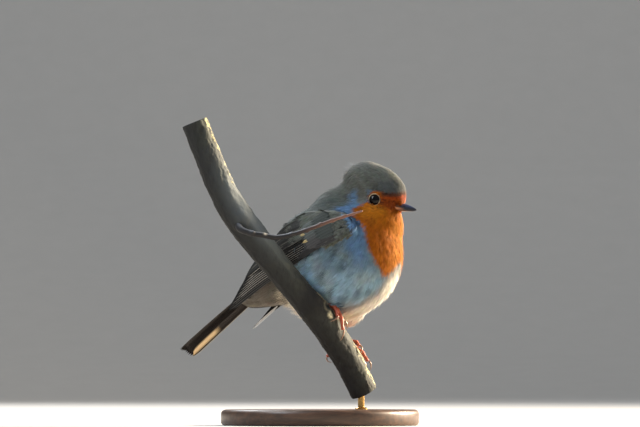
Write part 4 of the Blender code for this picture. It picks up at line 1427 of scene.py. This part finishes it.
class RobinTail(bpy.types.Operator):
    """The twelve feathers of the closed tail"""

    bl_idname = "robin.tail"
    bl_label = "Tail"

    def execute(self, context):
        plumage = context.scene.robin_plumage
        plane = TailPlane()
        bm, layers = new_vanes()
        dark, edge = np.array(plumage.tail), np.array(plumage.quill_edge)
        light = np.array(plumage.tail_glow_paint)
        for pair in range(6):
            for sign in (1, -1):
                # the middle pair lies on top, the outermost pair at the bottom
                reach = 0.3 + 0.95 * pair
                end = TAIL_LENGTH - 1.2 + 0.35 * pair - 0.09 * pair**2
                shaft = (
                    (1.0, sign * (0.2 + 0.6 * pair)), (30.0, sign * reach * 0.86),
                    (end, sign * reach),
                )
                height = -0.15 - (0.34 if sign > 0 else 0.08) * pair
                # the outermost feather on this side gets the painted glow through its inner vane
                # and a painted highlight along its lit edge
                glow = pair == 5 and sign > 0
                tones = (dark * (0.75 + 0.05 * pair), edge * (1.8 if glow else 0.5))
                add_vane(bm, layers, plane, shaft, 5.0, height, tones, blunt=0.14,
                         outer_share=0.5 if pair == 0 else 0.24, curl=0.2, rows=26, fringe=0.72,
                         mirrored=sign > 0, light=light if glow else None)
        # coverts over the root of the tail, and longer pale ones below it
        back, vent = np.array(plumage.back), np.array(plumage.vent)
        under = VentPlane()
        for row, start in enumerate((-4.0, 2.0)):
            for k in range(-3, 4):
                across = 1.35 * k
                # the upper ones come out from under the rump's soft feathers
                end = start + 20.0 - 0.5 * abs(k)
                shaft = ((start + 6.0, across), (start + 13.0, across), (end, across * 0.9))
                add_vane(bm, layers, plane, shaft, 3.4, 1.0 - 0.35 * row - 0.05 * abs(k),
                         (back * 0.55, back * 0.7), blunt=0.4, outer_share=0.5, rows=12)
                end = start + 21.0 - 0.8 * abs(k)
                shaft = ((start, across * 0.9), (start + 11.0, across * 0.9), (end, across * 0.7))
                add_vane(bm, layers, under, shaft, 4.2, 0.1 - 0.2 * row - 0.05 * abs(k),
                         (vent * 0.8, vent * 1.3), blunt=0.45, outer_share=0.5, rows=14)
        face_out(bm, Vector(turned(np.array(plane.roll @ plane.up))))
        finish_piece(object_from_bmesh("tail_quills", bm, vane_material()), "quills", "tail")
        return {"FINISHED"}


# ---- head parts ----
class RobinEyes(bpy.types.Operator):
    """Eyes with their buff lids"""

    bl_idname = "robin.eyes"
    bl_label = "Eyes"

    def execute(self, context):
        horn = context.scene.robin_horn
        face = Surface(fused_body(("head",), 0.9, 5))
        # a wet cornea over a very dark iris: the sharpest highlight on the bird
        wet, tree, shader = new_material(
            "wet_eyeball", Roughness=0.04, IOR=1.38, Specular_IOR_Level=0.34
        )
        colour = add_node(tree, "ShaderNodeAttribute", attribute_name="plumage")
        tree.links.new(colour.outputs["Color"], shader.inputs["Base Color"])
        # tiny matt feathers in a ring
        lid_skin = attribute_material("eyelid_feather_ring", 0.35, 0.08, Roughness=0.7)
        for side, name in ((1, "left"), (-1, "right")):
            centre, look = eye_frame(side, face)
            turn = look.to_track_quat("Z", "X").to_matrix().to_4x4()
            place = STANCE @ Matrix.Translation(centre * MM) @ turn
            bm = bmesh.new()
            bmesh.ops.create_uvsphere(bm, u_segments=48, v_segments=32, radius=EYE_RADIUS * MM)
            layer = bm.verts.layers.float_color.new("plumage")
            for vert in bm.verts:
                off = math.hypot(vert.co.x, vert.co.y) / MM
                ring = float(smoothstep(1.35, 1.6, off) * smoothstep(2.9, 2.2, off))
                tone = np.array(horn.iris) * ring if vert.co.z > 0 else np.zeros(3)
                vert[layer] = (*(tone * 0.3 + 0.0005), 1.0)
                # the cornea swells a little over the pupil
                if vert.co.z > 0:
                    vert.co.z += 0.12 * MM * max(0.0, 1 - (off / 1.9) ** 2)
            bm.transform(place)
            finish_piece(object_from_bmesh(f"eyeball_{name}", bm, wet), "eye", f"eye_{name}")

            height = math.sqrt(EYE_RADIUS**2 - EYE_OPENING**2)

            def lid(angle, share, side=side, height=height):
                # the ring is a little lower at the front and back, where the lids meet
                around = math.tau * share
                corner = 0.12 * math.cos(2 * around)
                beads = 0.05 * math.sin(around * 26)
                thick = 0.36 + 0.05 * math.sin(around) + beads
                ring = EYE_OPENING + 0.05 + corner * 0.8 + thick * math.cos(angle) * 0.9
                return Vector(
                    (ring * math.cos(around), ring * math.sin(around) * 0.97,
                     height + 0.02 - corner * 0.4 + thick * math.sin(angle) * 0.8)
                ) * MM

            ring = wrapped(10, 104, lid)
            layer = ring.verts.layers.float_color.new("plumage")
            for vert in ring.verts:
                off = math.hypot(vert.co.x, vert.co.y) / MM
                dark = float(smoothstep(EYE_OPENING + 0.12, EYE_OPENING - 0.1, off))
                vert[layer] = (*(np.array(horn.eyelid) * (1 - 0.9 * dark)), 1.0)
            ring.transform(place)
            bmesh.ops.recalc_face_normals(ring, faces=ring.faces)
            finish_piece(object_from_bmesh(f"eyelid_{name}", ring, lid_skin), "plumage_orange")
        return {"FINISHED"}


class RobinBill(bpy.types.Operator):
    """Upper and lower halves of the bill"""

    bl_idname = "robin.bill"
    bl_label = "Bill"

    def execute(self, context):
        horn = context.scene.robin_horn
        # smooth keratin, worn to a soft shine
        material = attribute_material("smooth_bill_horn", 0.5, 0.02, Roughness=0.28)
        dark, gape = np.array(horn.bill), np.array(horn.gape)
        for upper in (True, False):
            reach = BILL_TIP - GAPE[0] - (0.0 if upper else 0.5)

            def place(turn, share, upper=upper, reach=reach):
                taper = max(0.0, 1 - share**2) ** 0.65
                forward = GAPE[0] + reach * share
                line = Vector((forward, 0.0, gape_height(forward)))
                half = (3.2 if upper else 3.0) * taper**1.8 + (0.1 if share < 0.999 else 0.0)
                tall = (3.05 if upper else 1.45) * taper
                y, z = math.cos(turn), math.sin(turn)
                if upper:
                    # the culmen is narrow and rounded, the edges run straight
                    z = abs(z) ** 1.15 if z > 0 else z * 0.10
                    y *= 1 - 0.42 * max(0.0, z)
                else:
                    z = -(abs(z) ** 0.9) if z < 0 else z * 0.08
                    line.z -= 0.14
                return STANCE @ ((line + Vector((0.0, half * y, tall * z))) * MM)

            bm = wrapped(32, 48, place)
            layer = bm.verts.layers.float_color.new("plumage")
            for vert in bm.verts:
                forward, _, height = to_robin(np.array(vert.co))
                above = height - gape_height(forward)
                share = (forward - GAPE[0]) / reach
                pink = smoothstep(0.7, 0.2, abs(above + 0.15)) * smoothstep(0.60, 0.25, share)
                # paler blue towards the top: a painted highlight of sky light along the culmen,
                # darker below
                tone = mix(dark * 0.5, dark * (1.6, 2.0, 2.8), float(smoothstep(0.5, 2.0, above)))
                tone = mix(tone, gape * 0.35, float(smoothstep(0.42, 0.28, share)))
                # a painted shadow stands in for the hollow of the nostril
                hole = math.hypot((forward - 36.9) / 0.75, (above - 1.25) / 0.32)
                tone = tone * (1 - 0.8 * smoothstep(1.0, 0.6, hole))
                vert[layer] = (*mix(tone, gape, float(pink)), 1.0)
            name = "upper" if upper else "lower"
            piece = object_from_bmesh(f"bill_half_{name}", bm, material)
            finish_piece(piece, "bill_horn", f"bill_{name}")
        return {"FINISHED"}


# ---- legs ----
def round_tube(line, radii, sides, rows, flatten=1.0, ridge=None):
    """A round-ended tube along points in world millimetres."""
    path = Path([(tuple(p), r) for p, r in zip(line, radii)], count=80)

    def place(turn, share):
        end = min(share, 1 - share) * path.length
        radius_here = float(np.interp(share * path.length, path.along, path.radii))
        cap = math.sqrt(max(0.0, 1 - max(0.0, 1 - end / radius_here) ** 2))
        centre, _, front, side, radius = path.frame(share * path.length)
        if ridge:
            radius *= ridge(share * path.length, turn)
        offset = front * math.cos(turn) + side * math.sin(turn) * flatten
        return (centre + offset * radius * cap) * MM

    return wrapped(sides, rows, place)


def points_over_bark(start, end, steps, shape):
    """Points and radii from start to end over the bark; shape gives each radius and lift."""
    line, radii = [], []
    for step in range(steps + 1):
        share = step / steps
        radius, lift = shape(share)
        down, degrees = (a + (b - a) * share for a, b in zip(start, end))
        line.append(PERCH.place(down, degrees, lift))
        radii.append(radius)
    return line, radii


def toe_shape(share):
    """Thick at the foot, with three pads, and lifted in the middle."""
    radius = 1.12 + (0.80 - 1.12) * share
    radius *= 1 + 0.13 * math.cos(math.tau * 3 * share)
    return radius, radius + 0.5 * math.sin(math.pi * share) + TOE_GAP


def claw_shape(share):
    """A tapering hook."""
    radius = 0.62 * (1 - share) ** 0.8 + 0.10
    arch = 0.75 * math.cos(math.pi / 2 * share) + 0.5 * math.sin(math.pi * share)
    return radius, TOE_GAP + arch + radius


def scutes(along, _):
    """Overlapping scales across the top of a toe."""
    return 1.0 + 0.07 * ((along / SCUTE_LENGTH) % 1.0 - 0.5)


class RobinLegs(bpy.types.Operator):
    """Scaly legs, toes and claws"""

    bl_idname = "robin.legs"
    bl_label = "Legs and claws"

    def execute(self, context):
        horn = context.scene.robin_horn
        # dry scaly skin, and horn with a soft shine
        skin = attribute_material("scaly_leg_skin", 0.25, 0.05, Roughness=0.48)
        horny = attribute_material("claw_horn", 0.6, 0.01, Roughness=0.3)
        for name, foot in FEET.items():
            pad = PERCH.place(*foot["pad"], 2.2)
            bm = bmesh.new()
            for start, _ in foot["toes"].values():
                toe = points_over_bark(foot["pad"], start, 12, toe_shape)
                absorb(bm, round_tube(*toe, 14, 90, ridge=scutes))
            bmesh.ops.create_icosphere(
                bm, subdivisions=3, radius=1.75 * MM, matrix=Matrix.Translation(pad * MM)
            )
            paint(bm, horn.leg, 0.9)
            finish_piece(object_from_bmesh(f"toes_{name}", bm, skin), "leg_skin", f"foot_{name}")

            ankle = Vector(to_world(np.array(foot["ankle"]))) / MM
            line = [pad + (ankle - pad) * s for s in np.linspace(0.1, 1.15, 8)]
            radii = [1.15, 0.98, 0.92, 0.92, 0.95, 1.0, 1.1, 1.2]
            bm = round_tube(line, radii, 16, 80, ridge=scutes)
            paint(bm, horn.leg, 0.85)
            finish_piece(object_from_bmesh(f"shank_{name}", bm, skin), "leg_skin", f"leg_{name}")
            for toe, ends in foot["toes"].items():
                claw = points_over_bark(*ends, 8, claw_shape)
                bm = round_tube(*claw, 12, 40, flatten=0.72)
                paint(bm, horn.claw, 1.0)
                piece = object_from_bmesh(f"nail_{name}_{toe}", bm, horny)
                finish_piece(piece, "claw_horn", f"claw_{name}_{toe}")
        return {"FINISHED"}


def paint(bm, colour, scale):
    layer = bm.verts.layers.float_color.new("plumage")
    for vert in bm.verts:
        vert[layer] = (*(np.array(colour) * scale), 1.0)


# ---- perch ----
def bark_material(perch):
    """Smooth grey bark with fine furrows about 1 mm apart and crusts of pale lichen."""
    made, tree, shader = new_material("bark_with_lichen", Roughness=0.85)
    marks = add_node(tree, "ShaderNodeAttribute", attribute_name="bark")
    split = add_node(tree, "ShaderNodeSeparateColor", {"Color": marks.outputs["Color"]})
    place = add_node(tree, "ShaderNodeTexCoord").outputs["Object"]
    stretched = add_node(
        tree, "ShaderNodeMapping",
        {"Vector": place, "Rotation": (0.0, math.radians(-32.0), 0.0), "Scale": (1.0, 1.0, 0.28)},
    )
    furrows = add_node(
        tree, "ShaderNodeTexNoise",
        {"Vector": stretched.outputs["Vector"], "Scale": 1 / (1.6 * MM), "Detail": 8.0,
         "Roughness": 0.65},
    ).outputs["Fac"]
    blotch = add_node(
        tree, "ShaderNodeTexNoise",
        {"Vector": place, "Scale": 1 / (9 * MM), "Detail": 5.0, "Roughness": 0.6},
    ).outputs["Fac"]
    crust = add_node(
        tree, "ShaderNodeTexVoronoi", {"Vector": place, "Scale": 1 / (1.4 * MM)}
    )
    ground = ramp(
        tree, furrows,
        [(0.3, perch.bark_dark), (0.52, perch.bark), (0.75, [c * 1.3 for c in perch.bark])],
    )
    # the lichen's crusts, thickest where the branch faces the light, where their pale crust is
    # partly a painted highlight
    spread = add_node(
        tree, "ShaderNodeMath", {0: blotch, 1: split.outputs["Green"]}, operation="MULTIPLY"
    )
    patchy = add_node(
        tree, "ShaderNodeMath", {0: crust.outputs["Distance"], 1: -0.25, 2: spread.outputs[0]},
        operation="MULTIPLY_ADD",
    )
    layers = (
        (ramp(tree, blotch, [(0.42, grey(0.0)), (0.68, grey(0.5))]), linear("464B3A")),
        (marks.outputs["Alpha"], linear("757D80")),  # a thin blue-grey film, partly a painted sheen of sky light
        (ramp(tree, patchy.outputs[0], [(0.30, grey(0.0)), (0.40, grey(0.85))]), perch.lichen),
        (split.outputs["Red"], linear("101012")),  # painted shade on the side away from the light, and darker knots and stub
        (split.outputs["Blue"], linear("E6DBB4")),  # torn wood
    )
    for share, tone in layers:
        ground = add_node(
            tree, "ShaderNodeMix", {"Factor": share, "A": ground, "B": (*tone, 1.0)},
            data_type="RGBA",
        ).outputs["Result"]
    relief = {"Height": furrows, "Distance": 0.35 * MM, "Strength": 0.8}
    bump = add_node(tree, "ShaderNodeBump", relief)
    tree.links.new(ground, shader.inputs["Base Color"])
    tree.links.new(bump.outputs["Normal"], shader.inputs["Normal"])
    return made


KNOTS = (
    # distance down, degrees round, radius, height, kind
    (50.5, -6.0, 5.5, 1.0, "swirl"),
    (102.0, 42.0, 6.5, 0.9, "bulge"),
    (109.2, 66.0, 3.4, 0.8, "stub"),
    (112.8, 46.0, 2.6, 0.4, "scar"),
    (28.0, 60.0, 3.5, 0.5, "swirl"),
    (92.0, 200.0, 4.0, 0.7, "swirl"),
    (150.0, 30.0, 3.0, 0.4, "swirl"),
)


CUT_ROWS = 4  # rows of the branch's grid that close each cut end
CUT_RIM = (0.0, 0.5, 0.93, 0.985)


def hump(value, at, width):
    return math.exp(-(((value - at) / width) ** 2))


def knot_marks(down, degrees, radius, swell, red):
    """The bark's swell, how dark and how torn it is, once its knots and scars are added."""
    blue = 0.0
    for at, around, size, height, kind in KNOTS:
        turn = math.radians((degrees - around + 180) % 360 - 180)
        gap = math.hypot(down - at, turn * radius) / size
        if gap >= 1.6:
            continue
        swell += height * math.exp(-2.2 * gap * gap)
        swell += math.cos(gap * 9.0) * 0.10 * max(0.0, 1 - gap / 1.6)
        if kind == "stub":
            swell -= 1.5 * max(0.0, 1 - gap * 2.2)
            red = max(red, min(1.0, max(0.0, 1.6 - gap * 3.0)))
            blue = max(blue, 0.15 * max(0.0, 1 - abs(gap - 0.75) * 4))
        elif kind == "scar":
            swell -= 0.5 * max(0.0, 1 - gap * 3.0)
            ragged = gap + 0.25 * noise.noise(Vector((degrees * 0.12, down * 0.9, 3.0)))
            torn = min(1.0, max(0.0, 1.6 - ragged * 1.9))
            blue = max(blue, torn * min(1.0, 0.35 + 2.0 * gap))
            red *= min(1.0, ragged)
            red = max(red, 0.5 * max(0.0, 1 - ragged * 3.5))
        elif kind == "swirl":
            red = max(red, 0.45 * max(0.0, math.sin(gap * 9.0)) * max(0.0, 1.3 - gap))
    # the torn lip of old bark above the broken stub
    if 100.5 < down < 109.0:
        middle = np.interp(down, (101.0, 105.0, 108.5), (66.0, 71.0, 80.0))
        lip = abs(degrees - middle) * 0.12
        swell += 0.35 * max(0.0, 1 - lip / 1.3)
        frayed = 0.6 + 0.8 * noise.noise(Vector((0.0, 2.0 * down, 0.0)))
        blue = max(blue, 0.9 * max(0.0, 1 - lip / 0.8) * frayed)
    return swell, red, blue


def end_gap(point):
    """How far a place is inside the nearer cut end, when it is well within the bark."""
    gaps = []
    for down in (0.0, PERCH.length):
        centre, tangent, _, _, radius = PERCH.frame(down)
        offset = Vector(point) - centre
        height = offset.dot(tangent)
        inside = (offset - tangent * height).length < radius * 0.9
        gaps.append(abs(height) if inside else math.inf)
    return min(gaps)


class RobinBranch(bpy.types.Operator):
    """The cut length of branch, with its knots and scars"""

    bl_idname = "robin.branch"
    bl_label = "Branch"

    def execute(self, context):
        perch = context.scene.robin_perch
        depth = perch.furrow_depth / MM
        rows, sides = 420, 96

        def place(turn, share):
            row = share * rows
            down = (row - CUT_ROWS) / (rows - 2 * CUT_ROWS) * PERCH.length
            down = min(max(down, 0.0), PERCH.length)
            cap = min(row, rows - row)
            rim = CUT_RIM[int(cap)] if cap < CUT_ROWS else 1.0
            degrees = math.degrees(turn)
            centre, _, front, side, radius = PERCH.frame(down)
            spot = Vector((math.cos(turn) * 2.2, math.sin(turn) * 2.2, down * 0.12))
            fine = Vector((math.cos(turn) * 9, math.sin(turn) * 9, down * 0.5))
            swell = noise.fractal(spot * 1.3, 1.0, 2.0, 4) * depth
            swell += noise.noise(fine) * depth * 0.45
            # painted shade darkens its side away from the light; it is darker round the broken
            # stub too
            shaded = 0.88 * math.sqrt(max(0.0, math.cos(math.radians(degrees + 60.0))))
            red = max(shaded, 0.93 * hump(down, 102.0, 13.0))
            # a blue-grey film on the side towards the light, partly a painted sheen
            film_and_sheen = hump(down, 48.0, 24.0) * max(0.0, math.cos(math.radians(degrees - 40.0)))
            swell, red, blue = knot_marks(down, degrees, radius, swell, red)
            # lichen grows thickest towards both ends
            low = min(1.0, max(0.0, (down - 95.0) / 40.0))
            high = min(1.0, max(0.0, (60.0 - down) / 40.0))
            # the pale lichen gathers on the side towards the light, partly as painted light
            toward = max(0.0, math.cos(math.radians(degrees - 95.0)))
            green = toward * (0.55 + 0.45 * max(low, high * 0.8))
            out = (radius - 0.15) * rim + swell * min(1.0, rim * rim)
            offset = (front * math.cos(turn) + side * math.sin(turn)) * out
            return (centre + offset) * MM, (red, green, blue, film_and_sheen)

        bm = wrapped(sides, rows, place, "bark")
        for face in bm.faces:
            sawn = max(end_gap(v.co / MM) for v in face.verts) < 0.35
            face.material_index = 1 if sawn else 0
        # a sawn end: pale wood with flecks about 1 mm apart
        end_grain = speckled_material(
            "sawn_end_grain", 1.0, 4.0, (0.3, linear("8E7650")), (0.7, linear("C8AE82")),
            Roughness=0.75,
        )
        piece = object_from_bmesh("branch_bark", bm, bark_material(perch), end_grain)
        finish_piece(piece, "bark", "perch_branch")
        return {"FINISHED"}


# each bud's distance along the twig, and degrees round it
BUDS = (
    (14.0, 20.0), (24.5, 200.0), (33.0, 40.0), (40.5, 230.0), (47.5, 60.0), (53.5, 240.0),
    (59.5, 80.0), (64.0, 10.0),
)
BUD_SCAR = 20.5


class RobinTwig(bpy.types.Operator):
    """The bare side twig with its buds"""

    bl_idname = "robin.twig"
    bl_label = "Twig"

    def execute(self, context):
        perch = context.scene.robin_perch
        path = Path(TWIG_LINE)
        # thin young bark, smoother than the branch's
        material = attribute_material("young_twig_bark", 0.8, 0.12, Roughness=0.65)

        def ridge(along, turn):
            spot = Vector((along * 0.9, math.cos(turn) * 2, math.sin(turn) * 2))
            swell = 1 + 0.05 * noise.noise(spot)
            for at, around in BUDS:
                swell += 0.14 * math.exp(-((along - at) ** 2) / 0.8)
                facing = max(0.0, math.cos(turn - math.radians(around)))
                swell += 0.45 * facing**2 * math.exp(-((along - at - 0.8) ** 2) / 0.7)
            return swell

        bm = round_tube(path.points[::4], path.radii[::4], 20, 320, ridge=ridge)
        layer = bm.verts.layers.float_color.new("plumage")
        for vert in bm.verts:
            at = np.linalg.norm(path.points - np.array(vert.co) / MM, axis=1).argmin()
            along = path.along[at]
            share = along / path.length
            young = float(smoothstep(0.45, 0.95, share))
            tone = mix(np.array(perch.twig), np.array(perch.twig_tip), young)
            # its upper side is painted paler as light falling on it, with one bud scar
            rise = (vert.co.z / MM - path.points[at][2]) / path.radii[at]
            pale = math.exp(-((along - BUD_SCAR) ** 2) / 0.5) * float(rise > 0)
            painted_top_light = smoothstep(0.45, 0.9, rise) * (1 - 0.75 * smoothstep(0.4, 0.8, share))
            tone = mix(tone, np.array(linear("8F949B")), 0.6 * float(painted_top_light))
            tone = mix(tone, np.array(linear("D9CDB8")), 0.8 * pale)
            vert[layer] = (*tone, 1.0)
        finish_piece(object_from_bmesh("twig_bark", bm, material), "bark", "perch_twig")
        return {"FINISHED"}


# ---- stand and stage ----
class RobinStand(bpy.types.Operator):
    """The turned base and its rod"""

    bl_idname = "robin.stand"
    bl_label = "Stand"

    def execute(self, context):
        perch = context.scene.robin_perch
        # dark close-grained wood under wax, with grain about 2 mm wide
        wood, tree, shader = new_material(
            "waxed_turned_walnut", Roughness=0.42, Coat_Weight=0.25, Coat_Roughness=0.3
        )
        place = add_node(tree, "ShaderNodeTexCoord")
        stretched = add_node(
            tree, "ShaderNodeMapping",
            {"Vector": place.outputs["Object"], "Scale": (0.10, 1.0, 1.0)},
        )
        grain = add_node(
            tree, "ShaderNodeTexNoise",
            {"Vector": stretched.outputs["Vector"], "Scale": 1 / (2.2 * MM), "Detail": 7.0,
             "Roughness": 0.62, "Distortion": 0.3},
        ).outputs["Fac"]
        base = np.array(perch.wood)
        tone = ramp(tree, grain, [(0.30, base * 0.45), (0.52, base), (0.72, base * 1.7)])
        relief = {"Height": grain, "Distance": 0.06 * MM, "Strength": 0.5}
        bump = add_node(tree, "ShaderNodeBump", relief)
        tree.links.new(tone, shader.inputs["Base Color"])
        tree.links.new(bump.outputs["Normal"], shader.inputs["Normal"])
        top, radius, ease = BASE_TOP, BASE_RADIUS, BASE_EASE
        profile = [
            (0.0, 0.0), (radius - 1.6, 0.0), (radius - 0.5, 0.35), (radius, 1.2),
            (radius, top - ease),
        ]
        for step in range(1, 7):
            turn = math.radians(15 * step)
            side = radius - ease + ease * math.cos(turn)
            profile.append((side, top - ease + ease * math.sin(turn)))
        # a shallow groove runs round the top
        groove = ((1.2, 0.0), (1.6, 0.35), (2.1, 0.35), (2.5, 0.0))
        profile += [(radius - ease - inset, top - sunk) for inset, sunk in groove]
        profile.append((0.0, top))
        piece = turned_solid("stand_turned_base", profile, (0.0, 0.0), 128, wood)
        finish_piece(piece, "base_wood", "stand_base")

        # drawn and polished brass: warm, with a soft mirror
        metal = speckled_material(
            "polished_brass", 0.4, 3.0, (0.3, linear("A98448")), (0.7, linear("CBA567")),
            Roughness=0.22, Metallic=1.0,
        )
        low, high = 4.0, 22.8
        profile = [
            (0.0, low), (1.6, low), (1.6, top), (2.9, top), (2.9, top + 0.5), (2.5, top + 0.9),
            (1.6, top + 1.1), (1.6, high), (0.0, high),
        ]
        piece = turned_solid("stand_brass_rod", profile, ROD_PLACE, 48, metal)
        finish_piece(piece, "brass", "stand_rod")
        return {"FINISHED"}


def area_light(name, place, target, size, power, colour):
    """A soft round studio light."""
    data = bpy.data.lights.new(f"{name}_light", "AREA")
    data.shape = "DISK"
    data.size = size
    data.energy = power
    data.color = colour
    light = bpy.data.objects.new(f"{name}_light", data)
    light.location = place
    light.rotation_euler = (Vector(target) - Vector(place)).to_track_quat("-Z", "Y").to_euler()
    bpy.context.scene.collection.objects.link(light)


class RobinStageBuild(bpy.types.Operator):
    """Floor, backdrop, lights and camera"""

    bl_idname = "robin.stage"
    bl_label = "Stage"

    def execute(self, context):
        stage = context.scene.robin_stage
        # matt paper, with a faint fibre
        floor = np.array(stage.floor)
        matt = speckled_material(
            "matt_backdrop_paper", 25.0, 3.0, (0.2, floor * 0.98),
            (0.8, np.minimum(floor * 1.02, 1.0)), Roughness=0.95,
        )
        bm = bmesh.new()
        bmesh.ops.create_grid(bm, x_segments=24, y_segments=48, size=0.5)
        size, front = 14.0, -5.0
        bend, rise = 2.2, 1.6  # where the floor turns up, and the radius of the turn
        for vert in bm.verts:
            x, run = vert.co.x * size, front + (vert.co.y + 0.5) * size
            if run < bend:
                vert.co = (x, run, 0.0)
            elif run < bend + rise * math.pi / 2:
                turn = (run - bend) / rise
                vert.co = (x, bend + rise * math.sin(turn), rise - rise * math.cos(turn))
            else:
                vert.co = (x, bend + rise, rise + run - bend - rise * math.pi / 2)
        backdrop = object_from_bmesh("floor_and_backdrop", bm, matt)

        robin = (0.0, 0.0, 0.09)
        belly, wall = (0.0, 0.0, 0.08), (0.0, 3.9, 0.4)
        fill = stage.fill
        # name, place, target, size, power, colour
        for light in (
            ("key", (0.94, 0.46, 0.38), robin, 0.30, stage.key, (1.0, 0.83, 0.62)),
            ("fill", (-1.24, -0.80, 1.40), belly, 0.5, fill, (0.82, 0.90, 1.0)),
            ("top", (-0.75, 0.05, 1.5), belly, 0.7, fill * 0.7, (1.0, 0.97, 0.93)),
            ("backdrop", (0.0, 1.9, 2.4), wall, 1.6, fill * 0.8, (1.0, 0.99, 0.97)),
            ("rim", (-0.45, 1.25, 1.05), robin, 0.5, fill * 1.4, (0.95, 0.97, 1.0)),
        ):
            area_light(*light)
        world = bpy.data.worlds.new("studio_air")
        world.use_nodes = True
        air = world.node_tree.nodes["Background"]
        air.inputs["Color"].default_value = (0.80, 0.86, 0.95, 1.0)
        air.inputs["Strength"].default_value = 0.36
        context.scene.world = world

        lens = bpy.data.cameras.new("camera")
        lens.sensor_width = 36.0
        lens.lens = 36.0 * stage.distance / stage.width
        lens.clip_end = 100.0
        camera = bpy.data.objects.new("camera", lens)
        target = Vector((0.0, 0.0, 0.1005))
        tilt = math.radians(-2.0)
        camera.location = target + Vector((0.0, -math.cos(tilt), math.sin(tilt))) * stage.distance
        camera.rotation_euler = (math.pi / 2 - tilt, 0.0, 0.0)
        bpy.context.scene.collection.objects.link(camera)
        context.scene.camera = camera
        context.scene.view_settings.view_transform = "Standard"
        return {"FINISHED"}


# ---- panel and registration ----
OPERATORS = (
    RobinSkin, RobinCoat, RobinWings, RobinTail, RobinEyes, RobinBill, RobinLegs, RobinBranch,
    RobinTwig, RobinStand, RobinStageBuild,
)
GROUPS = {
    "robin_plumage": RobinPlumage, "robin_horn": RobinHorn, "robin_perch": RobinPerch,
    "robin_stage": RobinStage,
}


class RobinPanel(bpy.types.Panel):
    """Lists the robin's sizes, colours and building steps"""

    bl_idname = "VIEW3D_PT_robin"
    bl_label = "European Robin"
    bl_space_type = "VIEW_3D"
    bl_region_type = "UI"
    bl_category = "Robin"

    def draw(self, context):
        for name, group in GROUPS.items():
            box = self.layout.box()
            box.label(text=group.__doc__)
            for key in group.__annotations__:
                box.prop(getattr(context.scene, name), key)
        for operator in OPERATORS:
            self.layout.operator(operator.bl_idname)


def register():
    for made in (*GROUPS.values(), *OPERATORS, RobinPanel):
        bpy.utils.register_class(made)
    for name, group in GROUPS.items():
        setattr(bpy.types.Scene, name, PointerProperty(type=group))


def unregister():
    for name in GROUPS:
        delattr(bpy.types.Scene, name)
    for made in reversed((*GROUPS.values(), *OPERATORS, RobinPanel)):
        bpy.utils.unregister_class(made)


def main():
    register()
    for operator in OPERATORS:
        family, name = operator.bl_idname.split(".")
        result = getattr(getattr(bpy.ops, family), name)()
        if result != {"FINISHED"}:
            raise RuntimeError(f"{operator.bl_label} did not finish")


if __name__ == "__main__":
    main()
